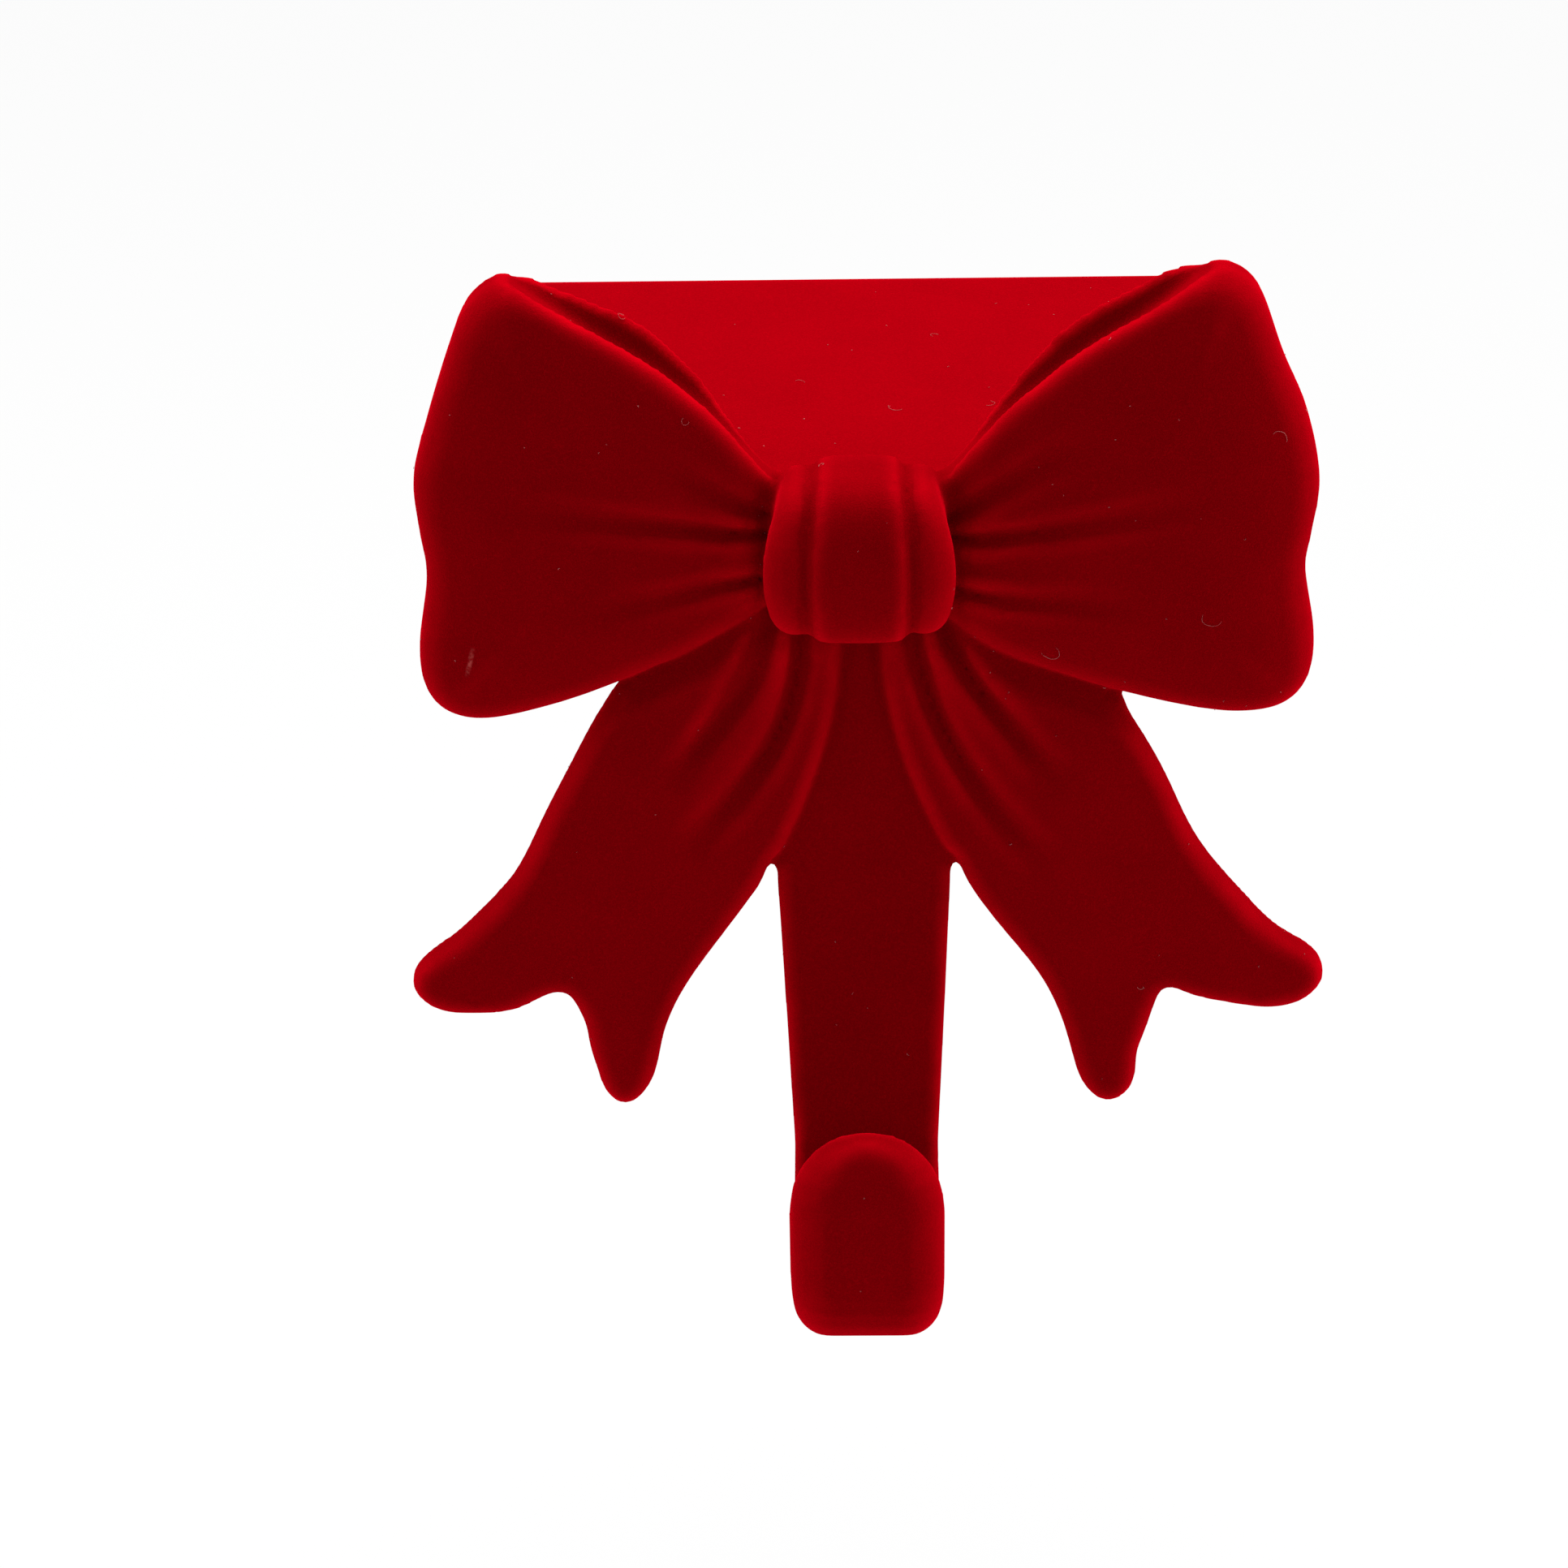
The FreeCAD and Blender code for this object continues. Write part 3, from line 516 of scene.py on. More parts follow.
def flock_colour(tree, settings, grain, scuff):
    """The flock's colour socket: a painted highlight on edges, painted shade in hollows, brushed
    patches, fibre tips and a scuff.
    """
    point = tree.nodes.new("ShaderNodeNewGeometry").outputs["Pointiness"]
    # Painted highlight: brighter red painted on the convex edges, where light would catch them.
    painted_rim_highlight = remapped(tree, point, *RIM_HIGHLIGHT_RANGE, 0.0, 1.0)
    # Painted shade: the flock darkened in the concave hollows, where shade falls.
    painted_hollow_shade = remapped(tree, point, *HOLLOW_SHADE_RANGE, 0.0, HOLLOW_SHADE_SHARE)
    brushed = remapped(tree, grain.outputs["Broad"], *BRUSHED_RANGE, 0.0, BRUSHED_SHARE)
    tips = remapped(tree, grain.outputs["Fine"], *TIPS_RANGE, 0.0, TIPS_SHARE)
    rim_highlight_and_tip_red = rgba(settings.rim_highlight_and_tip_colour)
    base = blended(tree, painted_rim_highlight, rgba(settings.colour), rim_highlight_and_tip_red)
    base = blended(tree, painted_hollow_shade, base, rgba(darker(settings.colour, HOLLOW_SHADE_DARKNESS)))
    base = blended(tree, brushed, base, rgba(darker(settings.colour, BRUSHED_DARKNESS)))
    base = blended(tree, tips, base, rim_highlight_and_tip_red)
    return blended(tree, scuff_mask(tree, scuff), base, SCUFF_COLOUR)


def flock_material(settings, scuff):
    """Short red flock: dark where it is looked at straight, with a painted highlight on the rounded
    edges besides the shader's sheen.
    """
    material, tree, shader = new_material("red_flock")
    grain = surface_grain(tree, *FLOCK_GRAIN)
    tree.links.new(flock_colour(tree, settings, grain, scuff), shader.inputs["Base Color"])
    rough = remapped(tree, grain.outputs["Fine"], *ROUGH_RANGE, *FLOCK_ROUGHNESS)
    tree.links.new(rough, shader.inputs["Roughness"])
    add_bump(tree, shader, grain.outputs["Height"], *FLOCK_BUMP)
    shader.inputs["Specular IOR Level"].default_value = 0.0
    shader.inputs["Sheen Weight"].default_value = SHEEN
    shader.inputs["Sheen Roughness"].default_value = SHEEN_ROUGHNESS
    shader.inputs["Sheen Tint"].default_value = rgba(settings.sheen_colour)
    return material


def scuff_mask(tree, scuff):
    """A mask that is high along the short scuff on the left loop."""
    start, end = scuff
    middle = (start + end) / 2
    along = (end - start).normalized()
    place = tree.nodes.new("ShaderNodeTexCoord").outputs["Object"]
    offset = add_node(tree, "ShaderNodeVectorMath", {0: place, 1: tuple(middle)}, operation="SUBTRACT")
    run = add_node(
        tree, "ShaderNodeVectorMath", {0: offset.outputs[0], 1: tuple(along)}, operation="DOT_PRODUCT"
    )
    size = add_node(tree, "ShaderNodeVectorMath", {0: offset.outputs[0]}, operation="LENGTH")
    run_squared = summed(tree, "MULTIPLY", run.outputs["Value"], run.outputs["Value"])
    size_squared = summed(tree, "MULTIPLY", size.outputs["Value"], size.outputs["Value"])
    aside = summed(tree, "SQRT", summed(tree, "SUBTRACT", size_squared, run_squared), 0.0)
    narrow = remapped(tree, aside, *SCUFF_SIDES, 1.0, 0.0)
    reach = summed(tree, "ABSOLUTE", run.outputs["Value"], 0.0)
    short = remapped(tree, reach, *SCUFF_ENDS, 1.0, 0.0)
    broken = add_node(
        tree, "ShaderNodeTexNoise", {"Vector": place, "Scale": SCUFF_FINENESS, "Detail": 2.0}
    )
    patchy = remapped(tree, broken.outputs["Fac"], *SCUFF_PATCHES, 0.15, 1.0)
    mask = summed(tree, "MULTIPLY", summed(tree, "MULTIPLY", narrow, short), patchy)
    return summed(tree, "MULTIPLY", mask, SCUFF_SHARE)


def pad_material(settings):
    """Dark matte rubber with a fine grain and some dust."""
    material, tree, shader = new_material("pad_rubber")
    grain = surface_grain(tree, *PAD_GRAIN)
    dust = remapped(tree, grain.outputs["Broad"], *DUST_RANGE, 0.0, DUST_SHARE)
    base = blended(tree, dust, rgba(settings.colour), DUST_COLOUR)
    tree.links.new(base, shader.inputs["Base Color"])
    rough = remapped(tree, grain.outputs["Fine"], *ROUGH_RANGE, *PAD_ROUGHNESS)
    tree.links.new(rough, shader.inputs["Roughness"])
    add_bump(tree, shader, grain.outputs["Fine"], *PAD_BUMP)
    return material


def lint_material():
    """Pale loose fibres, pinker where the red shines through."""
    material, tree, shader = new_material("lint")
    grain = surface_grain(tree, *LINT_GRAIN)
    shift = remapped(tree, grain.outputs["Broad"], *LINT_RANGE, 0.0, 1.0)
    base = blended(tree, shift, *LINT_COLOURS)
    tree.links.new(base, shader.inputs["Base Color"])
    shader.inputs["Roughness"].default_value = LINT_ROUGHNESS
    return material


def turned(first, second, angle):
    """Two directions at right angles, turned by an angle in their own plane."""
    return (
        first * math.cos(angle) + second * math.sin(angle),
        second * math.cos(angle) - first * math.sin(angle),
    )


def camera_matrix():
    """The camera's place and turn, so that the aim point shows at its pixel."""
    back = Vector((0.0, -math.cos(CAMERA_ELEVATION), math.sin(CAMERA_ELEVATION)))
    forward = -back
    right = forward.cross(Vector((0.0, 0.0, 1.0))).normalized()
    up = right.cross(forward)
    yaw = math.atan((AIM_PIXEL[0] - PICTURE / 2) / FOCAL_PIXELS)
    pitch = math.atan((AIM_PIXEL[1] - PICTURE / 2) / FOCAL_PIXELS * math.cos(yaw))
    forward, right = turned(forward, right, -yaw)
    forward, up = turned(forward, up, pitch)
    right, up = turned(right, up, CAMERA_ROLL)
    turn = Matrix((right, up, -forward)).transposed().to_4x4()
    return Matrix.Translation(AIM_POINT + back * CAMERA_DISTANCE) @ turn


def pixel_ray(pixel):
    """Where the camera is, and the direction in which this pixel of the picture lies."""
    matrix = camera_matrix()
    across = (pixel[0] - PICTURE / 2) / FOCAL_PIXELS
    down = (pixel[1] - PICTURE / 2) / FOCAL_PIXELS
    return matrix.translation, (matrix.to_3x3() @ Vector((across, -down, -1.0))).normalized()


def surface_of(obj):
    """A tree for finding the nearest spot of the object's surface."""
    shape = bmesh.new()
    shape.from_mesh(obj.data)
    tree = BVHTree.FromBMesh(shape)
    shape.free()
    return tree


def spot_at(surface, pixel):
    """The spot and the normal of the surface that show at this pixel."""
    origin, direction = pixel_ray(pixel)
    spot, normal, _, _ = surface.ray_cast(origin, direction)
    if spot is None:
        raise RuntimeError(f"nothing shows at pixel {pixel}")
    return spot, normal


def smooth_curve(points, count):
    """Points spread evenly along a smooth curve through the given ones."""
    points = np.array(points, float)
    before = 2 * points[0] - points[1]
    after = 2 * points[-1] - points[-2]
    held = np.vstack([before, points, after])
    part = np.linspace(0.0, 1.0, 16, endpoint=False)[:, None]
    dense = []
    for a, b, c, d in zip(held, held[1:], held[2:], held[3:]):
        curve = 2 * b + (c - a) * part + (2 * a - 5 * b + 4 * c - d) * part ** 2
        dense.append(0.5 * (curve + (3 * b - a - 3 * c + d) * part ** 3))
    dense = np.vstack([*dense, points[-1:]])
    lengths = np.linalg.norm(np.diff(dense, axis=0), axis=1)
    run = np.concatenate([[0.0], np.cumsum(lengths)])
    even = np.linspace(0.0, run[-1], count)
    return np.stack([np.interp(even, run, dense[:, axis]) for axis in range(dense.shape[1])], axis=1)


def filled(lower, upper, near, far):
    """A grid of places that fills four border curves."""
    along = np.linspace(0.0, 1.0, len(lower))[:, None, None]
    across = np.linspace(0.0, 1.0, len(near))[None, :, None]
    ruled = (1 - across) * lower[:, None] + across * upper[:, None]
    ruled += (1 - along) * near[None] + along * far[None]
    bottom = (1 - along) * lower[0] + along * lower[-1]
    top = (1 - along) * upper[0] + along * upper[-1]
    return ruled - (1 - across) * bottom - across * top


def distance_to(places, curve):
    """How far each place lies from the curve, and the share of the curve at its nearest point."""
    flat = places.reshape(-1, 2)
    best = np.full(len(flat), np.inf)
    share = np.zeros(len(flat))
    for number, point in enumerate(curve):
        distance = np.hypot(flat[:, 0] - point[0], flat[:, 1] - point[1])
        closer = distance < best
        best[closer] = distance[closer]
        share[closer] = number / (len(curve) - 1)
    return best.reshape(places.shape[:-1]), share.reshape(places.shape[:-1])


def edge_drop(distance, radius):
    """How far a rounded edge falls back at this distance from the rim."""
    near = np.clip(1 - distance / radius, 0.0, 1.0)
    return radius * (1 - np.sqrt(1 - near ** 2))


def pleat_sink(places, pleats, from_knot):
    """How far the pleats sink the front at these places, with a soft ridge on both sides of each."""
    total = np.zeros(places.shape[:-1])
    for line, width, depth in pleats:
        distance, share = distance_to(places, smooth_curve(line, PLEAT_STEPS))
        if from_knot:
            fade = (1 - share) ** LOOP_PLEAT_FADE
        else:
            fade = np.sin(np.pi * np.clip(share, 0.0, 1.0)) ** TAIL_PLEAT_FADE
        ratio = (distance / (width * (PLEAT_START + PLEAT_SPREAD * share))) ** 2
        total += depth * fade * (1 - PLEAT_RIDGE * ratio) * np.exp(-ratio)
    return total


def add_sheet(shape, places, level):
    """A sheet of faces through the grid of places at these levels, and its rows of points."""
    rows, columns = level.shape
    sheet = []
    for i in range(rows):
        row = []
        for j in range(columns):
            spot = (places[i, j, 0] / MM_PER_M, -level[i, j] / MM_PER_M, places[i, j, 1] / MM_PER_M)
            row.append(shape.verts.new(spot))
        sheet.append(row)
    for i in range(rows - 1):
        for j in range(columns - 1):
            shape.faces.new((sheet[i][j], sheet[i + 1][j], sheet[i + 1][j + 1], sheet[i][j + 1]))
    return sheet


def add_shell(shape, places, front, back):
    """A closed shell: the grid of places at its front levels and again at its back levels."""
    rows, columns = front.shape
    first = add_sheet(shape, places, front)
    second = add_sheet(shape, places, back)
    border = [(i, 0) for i in range(rows - 1)]
    border += [(rows - 1, j) for j in range(columns - 1)]
    border += [(i, columns - 1) for i in range(rows - 1, 0, -1)]
    border += [(0, j) for j in range(columns - 1, 0, -1)]
    for (i, j), (k, m) in zip(border, border[1:] + border[:1]):
        shape.faces.new((first[i][j], first[k][m], second[k][m], second[i][j]))


def loop_rims(loop):
    """The lower rim and the upper rim of a loop, both from the knot, and its outer edge upwards."""
    whole = smooth_curve(loop["outline"], OUTLINE_STEPS)
    ends = []
    for corner in loop["corners"]:
        offset = whole - np.array(loop["outline"][corner])
        ends.append(int(np.argmin(np.hypot(*offset.T))))
    return whole[:ends[0] + 1], whole[:ends[1] - 1:-1], whole[ends[0]:ends[1] + 1]


def loop_front(places, rims):
    """How far forward a loop's front layer stands at these places."""
    to_lower, _ = distance_to(places, rims[0])
    to_upper, share = distance_to(places, rims[1])
    to_outer, _ = distance_to(places, rims[2])
    to_low = np.minimum(to_lower, to_outer)
    outer_share = np.clip((share - (1 - BLUNT_SHARE)) / BLUNT_SHARE, 0.0, 1.0)
    blunt = RIM_ROUND + (EDGE_ROUND - RIM_ROUND) * outer_share
    front = RIM_LEVEL + DOME * (1 - np.exp(-np.minimum(to_low, to_upper) / DOME_WIDTH))
    front -= OUTER_FALL * np.exp(-to_low / OUTER_WIDTH)
    front -= np.maximum(edge_drop(to_upper, blunt), edge_drop(to_low, EDGE_ROUND))
    beside = np.abs(places[..., 0]) - KNOT_SIDE
    front -= SIDE_SINK * np.exp(-(beside / SIDE_WIDTH) ** 2)
    return front - pleat_sink(places, LOOP_PLEATS, True)


def add_loop(shape, loop):
    """A loop's front layer, domed and pleated, and the core that joins it to the layer behind."""
    rims = loop_rims(loop)
    lower = smooth_curve(rims[0], LOOP_STEPS[0])
    upper = smooth_curve(rims[1], LOOP_STEPS[0])
    outer = smooth_curve(rims[2], LOOP_STEPS[1])
    near = smooth_curve([rims[0][0], rims[1][0]], LOOP_STEPS[1])
    places = filled(lower, upper, near, outer)
    front = loop_front(places, rims)
    add_shell(shape, places, front, np.minimum(front - THINNEST, LAYER_BACK))
    along = np.clip(np.linspace(*CORE_SPAN, LOOP_STEPS[0]), 0.0, 1.0)
    inset = CORE_INSET * np.sin(np.pi * along) ** CORE_TAPER
    inward = (lower - upper) / np.linalg.norm(lower - upper, axis=1)[:, None]
    core = filled(lower, upper + inward * inset[:, None], near, outer)
    level = np.minimum(loop_front(core, rims) - THINNEST, CORE_FRONT)
    add_shell(shape, core, level, np.full(level.shape, CORE_BACK))


def squared_off(value):
    """A sine or cosine that makes a circle into a rounded square."""
    return math.copysign(abs(value) ** KNOT_SQUARE, value)


def knot_ring(offset):
    """The knot's section this far from its middle, as points in metres."""
    half, tall, deep = KNOT_HALF
    beyond = abs(offset) - KNOT_BAND
    aside = float(np.clip((beyond + KNOT_BLEND) / (2 * KNOT_BLEND), 0.0, 1.0))
    level = 1.0 + (KNOT_SIDE_LEVEL - 1.0) * aside
    level -= KNOT_FALL * min(abs(offset) / KNOT_BAND, 1.0) ** 2
    sink = KNOT_GROOVE * math.exp(-(beyond / KNOT_GROOVE_WIDTH) ** 2)
    sink += float(edge_drop(np.array(half - abs(offset)), KNOT_ROUND))
    ring = []
    for turn in np.linspace(0.0, 2 * math.pi, KNOT_STEPS[1], endpoint=False):
        out = squared_off(math.cos(turn))
        up = squared_off(math.sin(turn))
        narrow = 1 - KNOT_TAPER * up - KNOT_BARREL * up ** 2
        ring.append((
            (KNOT_CENTRE[0] + offset * narrow) / MM_PER_M,
            (KNOT_CENTRE[1] - (deep * level - sink) * out) / MM_PER_M,
            (KNOT_CENTRE[2] + (tall * level - sink) * up) / MM_PER_M,
        ))
    return ring


def add_knot(shape):
    """The knot: three bands pulled tight, the middle one the fullest, narrower towards both ends."""
    rings = []
    for place in np.linspace(-1.0, 1.0, KNOT_STEPS[0]):
        rings.append([shape.verts.new(spot) for spot in knot_ring(place * KNOT_HALF[0])])
    for first, second in zip(rings, rings[1:]):
        for i in range(KNOT_STEPS[1]):
            j = (i + 1) % KNOT_STEPS[1]
            shape.faces.new((first[i], first[j], second[j], second[i]))
    shape.faces.new(rings[0])
    shape.faces.new(list(reversed(rings[-1])))


def smooth_step(value, low, high):
    """0 below low, 1 above high, and a smooth rise between them."""
    part = np.clip((value - low) / (high - low), 0.0, 1.0)
    return part * part * (3 - 2 * part)


def points_of(mesh):
    """The mesh's points in metres, one a row."""
    points = np.empty(len(mesh.vertices) * 3)
    mesh.vertices.foreach_get("co", points)
    return points.reshape(-1, 3)


def put_points(mesh, points):
    """Moves the mesh's points to these places in metres."""
    mesh.vertices.foreach_set("co", points.ravel())


def lower_rim(x):
    """How high the loops' lower rims lie at these distances from the centre line."""
    height = np.empty(len(x))
    for side, loop in LOOPS:
        curve = loop_rims(loop)[0][::RIM_SKIP]
        reach = np.concatenate([[0.0], np.abs(curve[:, 0]), [RIM_BEYOND[0]]])
        level = np.minimum(curve[:, 1], RIM_UNDER_KNOT)
        level = np.concatenate([[RIM_UNDER_KNOT], level, [RIM_BEYOND[1]]])
        chosen = x * side >= 0
        height[chosen] = np.interp(np.abs(x[chosen]), reach, level)
    return height


def upper_rim(x):
    """How high the loops' upper rims lie at these distances from the centre line."""
    height = np.full(len(x), -np.inf)
    for side, loop in LOOPS:
        curve = loop_rims(loop)[1]
        chosen = x * side >= 0
        height[chosen] = np.interp(np.abs(x[chosen]), np.abs(curve[:, 0]), curve[:, 1])
    return height


def back_rim_rise(x, y, z, bow):
    """How far each point of the rear layer's upper rim is raised."""
    top = upper_rim(x)
    share = smooth_step(z, top - BACK_RIM_REACH, top - BACK_RIM_TOP)
    rim = bow & (y < BACK_RIM_FACE) & (z > BACK_RIM_FOOT)
    return rim * (np.interp(x, *np.array(BACK_RIM).T) * share)


def tail_fall(x, y, z, lower, bow):
    """How far back each point of the tails' face goes, for the pleats and under the loops."""
    tails = ~bow & (y < -TAIL_FACE[0]) & (z > TAIL_PLEATS_END) & (np.abs(x) > TAIL_INNER)
    sink = np.zeros(len(x))
    sink[tails] = pleat_sink(np.stack([x, z], axis=1)[tails], TAIL_PLEATS, False)
    sink += tails * TAIL_SINK * (1 - smooth_step(lower - z, 0.0, TAIL_SINK_REACH))
    return sink * smooth_step(-y, *TAIL_FACE)


def straightened(x, y, z):
    """Across, the points with the strap leant to its side and the hook's tip narrowed."""
    x = x + STRAP_SHIFT * smooth_step(-z, *STRAP_SPAN) * (np.abs(x) < STRAP_REACH)
    tip = (y < TIP_FACE) & (z < TIP_TOP)
    narrowing = TIP_NARROWING * smooth_step(-z, *TIP_SPAN) + TIP_SIDES
    return np.where(tip, TIP_MIDDLE + (x - TIP_MIDDLE) * (1 - narrowing), x)


def near_spot(x, z, spot, width):
    """1 at the spot, and less and less around it."""
    return np.exp(-((x - spot[0]) ** 2 + (z - spot[1]) ** 2) / width ** 2)


def nudged(x, z, nudges, freedom):
    """The points after each nudge in turn, moved as far as the function freedom lets them."""
    for spot_x, spot_z, width, shift_x, shift_z in nudges:
        share = near_spot(x, z, (spot_x, spot_z), width) * freedom(x, z)
        x = x + shift_x * share
        z = z + shift_z * share
    return x, z


def spread_wedges(x, y, z):
    """The points with the tops of the gaps beside the strap spread and raised."""
    reach, height = WEDGE_TOP
    for side in (-reach, reach):
        share = near_spot(x, z, (side, height), WEDGE_WIDTH) * (y < WEDGE_FACE)
        x = x + np.sign(np.abs(x) - reach) * np.sign(x) * WEDGE_SPREAD * share
        z = z + WEDGE_RISE * share
    return x, z


def make_room(mesh):
    """Cuts the casting's own bow back to its rear layer, and shapes its rims, its tails and the hook."""
    x, y, z = (points_of(mesh) * MM_PER_M).T
    lower = lower_rim(x)
    margin = TAIL_OVERLAP - (TAIL_OVERLAP + RIM_MARGIN) * smooth_step(np.abs(x), *TAILS_END)
    bow = (z > lower + margin) & (z < BOW_TOP)
    z = z + back_rim_rise(x, y, z, bow)
    y = np.where(bow, np.maximum(y, -BACK_LAYER), y)
    y = y + tail_fall(x, y, z, lower, bow)
    x = straightened(x, y, z)

    def tail_freedom(x, z):
        """Full on the tails, away from the strap, and fading out at the loops' lower rims."""
        beside = (np.abs(x) > TAIL_NUDGES_FROM) & (y < TAIL_NUDGES_FACE)
        return beside * smooth_step(lower - z, *TAIL_NUDGES_FADE)

    x, z = nudged(x, z, TAIL_NUDGES, tail_freedom)
    x, z = spread_wedges(x, y, z)
    x, z = nudged(x, z, BACK_NUDGES, lambda x, z: bow & (y < BACK_RIM_FACE))
    put_points(mesh, np.stack([x, y, z], axis=1) / MM_PER_M)


def keep_within(mesh, box):
    """Moves what stands outside the box back onto its sides."""
    put_points(mesh, np.clip(points_of(mesh), np.array(box[0]), np.array(box[1])))


def meshed(piece, grain):
    """The piece with its surface meshed anew and evenly."""
    mesher = piece.modifiers.new("even", "REMESH")
    mesher.mode = "VOXEL"
    mesher.voxel_size = grain
    return baked(piece)


def copied_casting():
    """A copy of the CAD casting whose faces share their points."""
    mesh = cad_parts["holder_casting"].data.copy()
    shape = bmesh.new()
    shape.from_mesh(mesh)
    bmesh.ops.remove_doubles(shape, verts=shape.verts, dist=1e-6)
    shape.to_mesh(mesh)
    shape.free()
    return link(bpy.data.objects.new("flocked_casting", mesh))


def add_bow(mesh):
    """Adds the loops' front layers and the knot to the mesh."""
    shape = bmesh.new()
    shape.from_mesh(mesh)
    for _, loop in LOOPS:
        add_loop(shape, loop)
    add_knot(shape)
    bmesh.ops.recalc_face_normals(shape, faces=shape.faces)
    shape.to_mesh(mesh)
    shape.free()


def softened(piece, settings):
    """The piece with its edges softened and the flock's thickness added."""
    soft = piece.modifiers.new("soft", "SMOOTH")
    soft.factor = 0.5
    soft.iterations = settings.softness
    nap = piece.modifiers.new("nap", "DISPLACE")
    nap.strength = settings.nap
    nap.mid_level = 0.0
    return baked(piece)


def make_casting(settings):
    """The casting under its flock, softened, with the bow's front layers and knot formed over it."""
    piece = copied_casting()
    meshed(piece, settings.grain * FIRST_GRAIN)
    make_room(piece.data)
    add_bow(piece.data)
    meshed(piece, settings.grain)
    softened(piece, settings)
    keep_within(piece.data, CAD_BOX)
    shade_smooth(piece.data)
    piece.data.materials.clear()
    surface = surface_of(piece)
    scuff = [spot_at(surface, pixel)[0] for pixel in SCUFF_PIXELS]
    piece.data.materials.append(flock_material(settings, scuff))
    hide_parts("holder_casting")
    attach(piece, "root")


def fibre_path(surface, spot, normal, length, maker):
    """A curling line that lies on the surface."""
    side = normal.orthogonal().normalized()
    heading = Matrix.Rotation(maker.uniform(0.0, 2 * math.pi), 3, normal) @ side
    curl = maker.choice((-1, 1)) * maker.uniform(*FIBRE_CURL)
    points = []
    for _ in range(FIBRE_STEPS + 1):
        nearest, direction, _, _ = surface.find_nearest(spot)
        points.append(nearest + direction * FIBRE_LIFT)
        bend = curl + maker.uniform(-FIBRE_WANDER, FIBRE_WANDER)
        heading = Matrix.Rotation(bend, 3, direction) @ heading
        heading = (heading - direction * heading.dot(direction)).normalized()
        spot = nearest + heading * (length / FIBRE_STEPS)
    return points


def thread_ring(shape, points, number, radius):
    """The thread's section at this point, smaller at both ends."""
    before = points[max(number - 1, 0)]
    after = points[min(number + 1, len(points) - 1)]
    along = (after - before).normalized()
    side = along.orthogonal().normalized()
    taper = THREAD_TAPER if number in (0, len(points) - 1) else 1.0
    ring = []
    for corner in range(THREAD_SIDES):
        out = Matrix.Rotation(2 * math.pi * corner / THREAD_SIDES, 3, along) @ side
        ring.append(shape.verts.new(points[number] + out * radius * taper))
    return ring


def untwisted(first, second):
    """The second ring, turned so that its points lie nearest to those of the first."""
    turns = [second[k:] + second[:k] for k in range(THREAD_SIDES)]
    return min(turns, key=lambda ring: sum((a.co - b.co).length for a, b in zip(first, ring)))


def add_thread(shape, points, radius):
    """A thin closed tube along the points."""
    rings = [thread_ring(shape, points, number, radius) for number in range(len(points))]
    for first, second in zip(rings, rings[1:]):
        facing = untwisted(first, second)
        for n in range(THREAD_SIDES):
            m = (n + 1) % THREAD_SIDES
            shape.faces.new((first[n], first[m], facing[m], facing[n]))
    shape.faces.new(list(reversed(rings[0])))
    shape.faces.new(rings[-1])


def make_lint(casting):
    """The loose fibres and specks that cling to the flock."""
    surface = surface_of(casting)
    maker = random.Random(SEED)
    shape = bmesh.new()
    for pixel, length in FIBRE_SPOTS:
        path = fibre_path(surface, *spot_at(surface, pixel), length / MM_PER_M, maker)
        add_thread(shape, path, FIBRE_RADIUS)
    spots = [spot_at(surface, pixel) for pixel in SPECK_SPOTS]
    points = casting.data.vertices
    for _ in range(SPECK_COUNT):
        point = points[maker.randrange(len(points))]
        spots.append((point.co.copy(), point.normal.copy()))
    for spot, normal in spots:
        path = fibre_path(surface, spot, normal, maker.uniform(*SPECK_LENGTH), maker)
        add_thread(shape, path[::SPECK_SKIP], SPECK_RADIUS)
    bmesh.ops.recalc_face_normals(shape, faces=shape.faces)
    mesh = bpy.data.meshes.new("lint")
    shape.to_mesh(mesh)
    shape.free()
    shade_smooth(mesh)
    mesh.materials.append(lint_material())
    piece = link(bpy.data.objects.new("lint", mesh))
    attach(piece, "root")


def floor_material():
    """A pale floor that shows white and keeps the object's shadow."""
    material = bpy.data.materials.new("pale_floor")
    material.use_nodes = True
    tree = material.node_tree
    tree.nodes.clear()
    output = tree.nodes.new("ShaderNodeOutputMaterial")
    diffuse = add_node(tree, "ShaderNodeBsdfDiffuse", {"Color": FLOOR_COLOUR})
    glow = add_node(tree, "ShaderNodeEmission", {"Color": WHITE, "Strength": 1.0})
    path = tree.nodes.new("ShaderNodeLightPath")
    seen = summed(tree, "MAXIMUM", path.outputs["Is Camera Ray"], path.outputs["Is Glossy Ray"])
    seen = summed(tree, "MAXIMUM", seen, path.outputs["Is Transmission Ray"])
    share = summed(tree, "MULTIPLY", seen, FLOOR_WHITE)
    mix = add_node(tree, "ShaderNodeMixShader", {0: share})
    tree.links.new(diffuse.outputs[0], mix.inputs[1])
    tree.links.new(glow.outputs[0], mix.inputs[2])
    tree.links.new(mix.outputs[0], output.inputs["Surface"])
    return material


def make_world(strength):
    """Even light from all round, which the camera sees as white."""
    world = bpy.data.worlds.new("surround")
    world.use_nodes = True
    tree = world.node_tree
    tree.nodes.clear()
    output = tree.nodes.new("ShaderNodeOutputWorld")
    path = tree.nodes.new("ShaderNodeLightPath")
    seen = summed(tree, "MAXIMUM", path.outputs["Is Camera Ray"], path.outputs["Is Transmission Ray"])
    level = remapped(tree, seen, 0.0, 1.0, strength, 1.0)
    light = add_node(tree, "ShaderNodeBackground", {"Color": WHITE, "Strength": level})
    tree.links.new(light.outputs[0], output.inputs["Surface"])
    bpy.context.scene.world = world


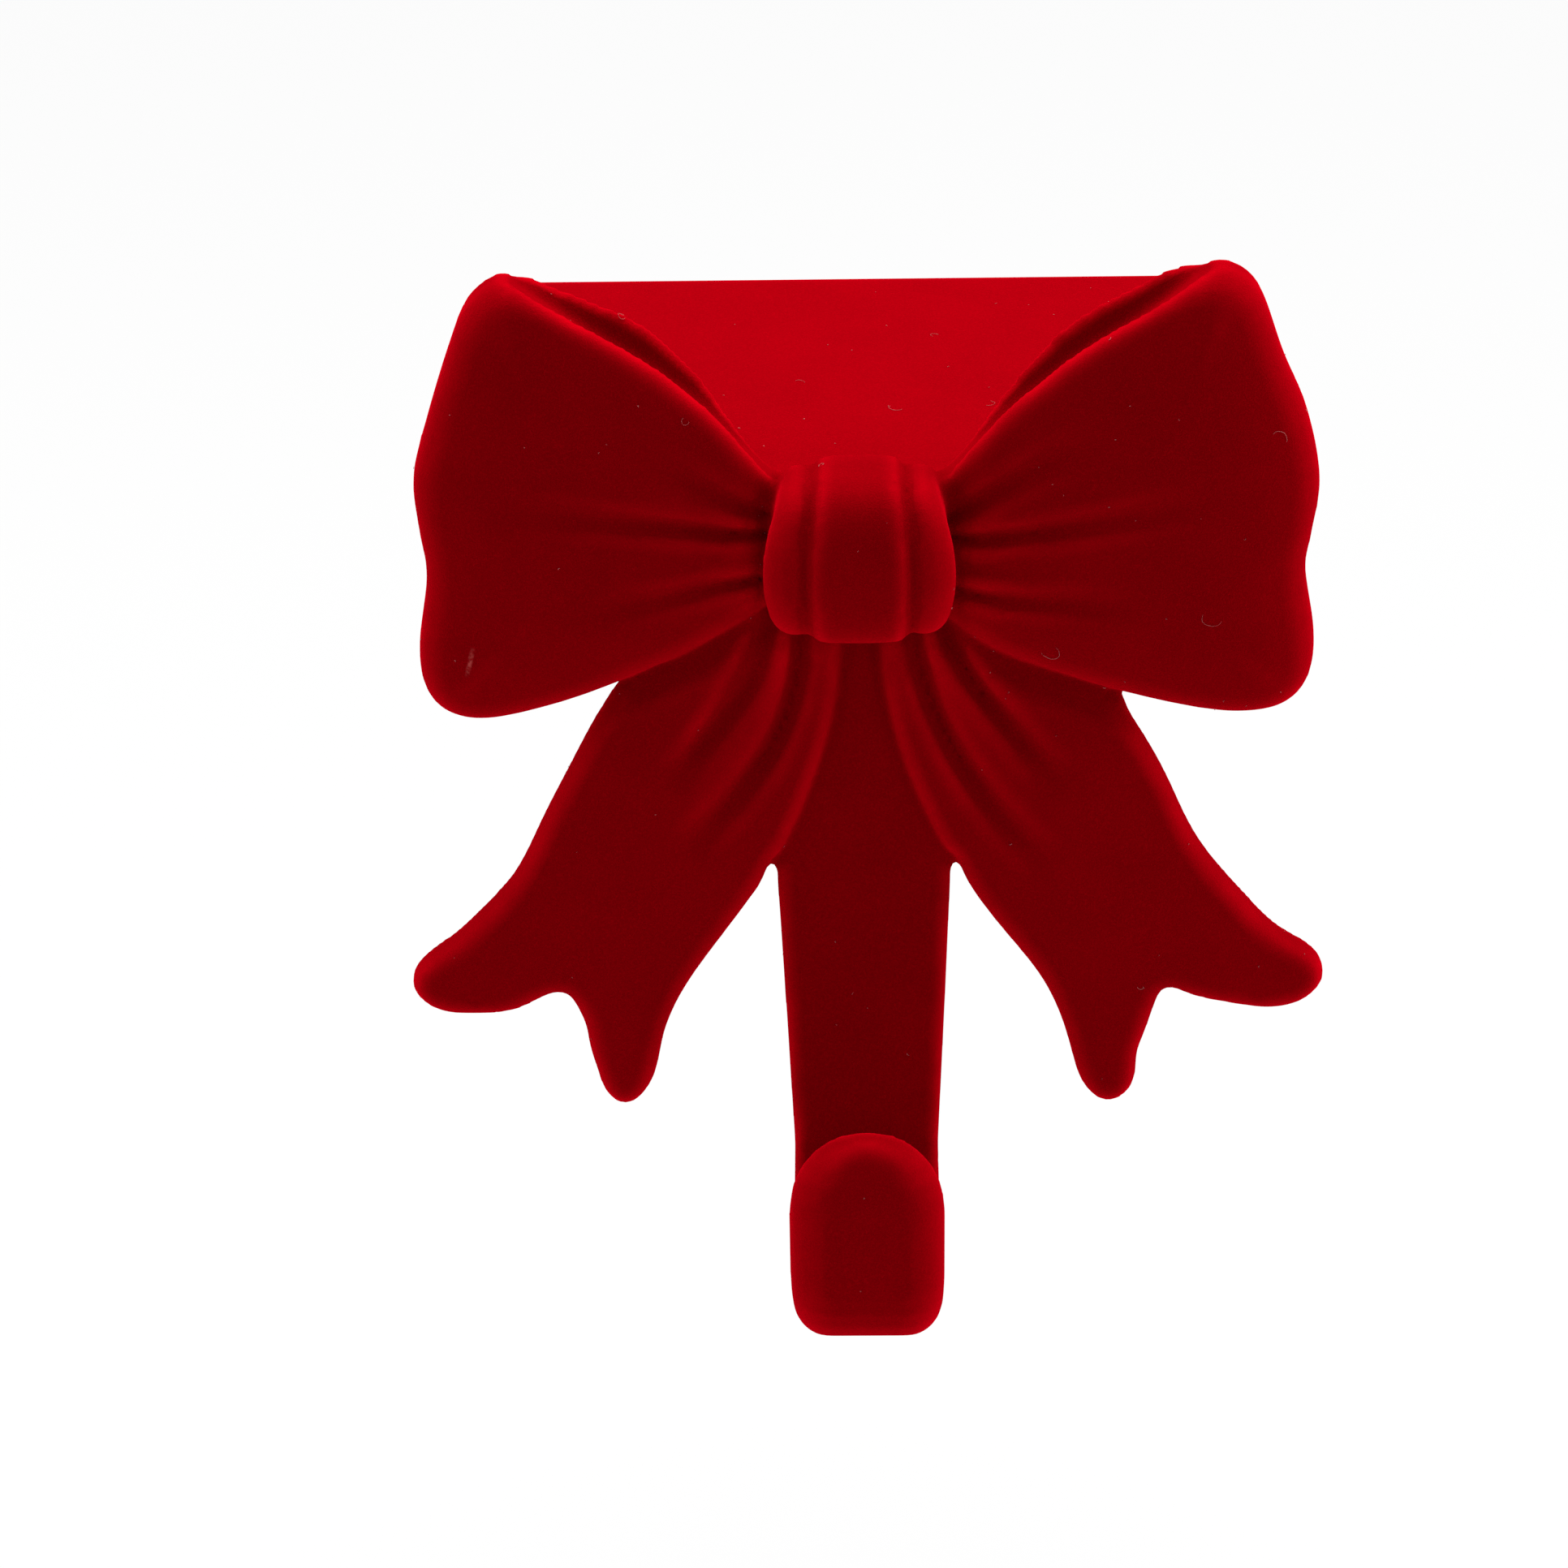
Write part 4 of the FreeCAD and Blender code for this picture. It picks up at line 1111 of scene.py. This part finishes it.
def add_lamp(name, place, target, size, power):
    """A soft rectangular lamp that points at the target."""
    light = bpy.data.lights.new(name, "AREA")
    light.shape = "RECTANGLE"
    light.size, light.size_y = size
    light.energy = power
    lamp = link(bpy.data.objects.new(name, light))
    lamp.location = place
    lamp.rotation_mode = "QUATERNION"
    lamp.rotation_quaternion = (Vector(target) - Vector(place)).to_track_quat("-Z", "Y")


def add_floor(level):
    """A wide pale floor at this height."""
    half = FLOOR_HALF
    corners = [(-half, -half, level), (half, -half, level), (half, half, level), (-half, half, level)]
    mesh = bpy.data.meshes.new("floor")
    mesh.from_pydata(corners, [], [(0, 1, 2, 3)])
    mesh.materials.append(floor_material())
    link(bpy.data.objects.new("floor", mesh))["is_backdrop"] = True


def add_camera():
    """The camera, at the photograph's angle."""
    camera = bpy.data.cameras.new("camera")
    camera.lens = LENS_MM
    camera.sensor_width = SENSOR_MM
    camera.clip_start = 0.01
    camera.clip_end = 50.0
    eye = link(bpy.data.objects.new("camera", camera))
    eye.matrix_world = camera_matrix()
    bpy.context.scene.camera = eye


def make_stage(settings):
    """The floor, the lamps, the surrounding light and the camera."""
    low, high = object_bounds()
    middle = (low + high) / 2
    add_floor(low.z - settings.floor_drop)
    add_lamp("top_lamp", TOP_LAMP_PLACE, TOP_LAMP_TARGET, TOP_LAMP_SIZE, settings.top_power)
    add_lamp("left_lamp", LEFT_LAMP_PLACE, middle, SIDE_LAMP_SIZE, settings.left_power)
    add_lamp("right_lamp", RIGHT_LAMP_PLACE, middle, SIDE_LAMP_SIZE, settings.right_power)
    make_world(settings.sky)
    add_camera()
    bpy.context.scene.view_settings.view_transform = "Standard"


class HOLDER_OT_casting(bpy.types.Operator):
    """Dress the casting in red flock"""

    bl_idname = "holder.casting"
    bl_label = "Flocked casting"

    def execute(self, context):
        make_casting(context.scene.holder_flock)
        return {"FINISHED"}


class HOLDER_OT_grip_pad(bpy.types.Operator):
    """Give the grip pad its rubber"""

    bl_idname = "holder.grip_pad"
    bl_label = "Grip pad"

    def execute(self, context):
        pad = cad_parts["grip_pad"]
        pad.data.materials.clear()
        pad.data.materials.append(pad_material(context.scene.holder_pad))
        return {"FINISHED"}


class HOLDER_OT_lint(bpy.types.Operator):
    """Scatter the loose fibres and specks on the flock"""

    bl_idname = "holder.lint"
    bl_label = "Lint"

    def execute(self, context):
        make_lint(bpy.data.objects["flocked_casting"])
        return {"FINISHED"}


class HOLDER_OT_stage(bpy.types.Operator):
    """Set the floor, the lamps and the camera"""

    bl_idname = "holder.stage"
    bl_label = "Stage"

    def execute(self, context):
        make_stage(context.scene.holder_stage)
        return {"FINISHED"}


class HOLDER_PT_panel(bpy.types.Panel):
    """The holder's settings and steps"""

    bl_label = "Stocking holder"
    bl_idname = "HOLDER_PT_panel"
    bl_space_type = "VIEW_3D"
    bl_region_type = "UI"
    bl_category = "Holder"

    def draw(self, context):
        scene = context.scene
        for settings in (scene.holder_flock, scene.holder_pad, scene.holder_stage):
            box = self.layout.box()
            for name in settings.__annotations__:
                box.prop(settings, name)
        for step in STEPS:
            self.layout.operator(step.bl_idname)


STEPS = (HOLDER_OT_casting, HOLDER_OT_grip_pad, HOLDER_OT_lint, HOLDER_OT_stage)
CLASSES = (FlockSettings, PadSettings, StageSettings, *STEPS, HOLDER_PT_panel)


def register():
    """Adds the settings, the steps and the panel to Blender."""
    for item in CLASSES:
        bpy.utils.register_class(item)
    bpy.types.Scene.holder_flock = PointerProperty(type=FlockSettings)
    bpy.types.Scene.holder_pad = PointerProperty(type=PadSettings)
    bpy.types.Scene.holder_stage = PointerProperty(type=StageSettings)


def unregister():
    """Takes them out again."""
    del bpy.types.Scene.holder_stage
    del bpy.types.Scene.holder_pad
    del bpy.types.Scene.holder_flock
    for item in reversed(CLASSES):
        bpy.utils.unregister_class(item)


def main():
    """Registers the add-on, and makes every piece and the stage."""
    register()
    bpy.ops.holder.casting()
    bpy.ops.holder.grip_pad()
    bpy.ops.holder.lint()
    bpy.ops.holder.stage()


if __name__ == "__main__":
    main()
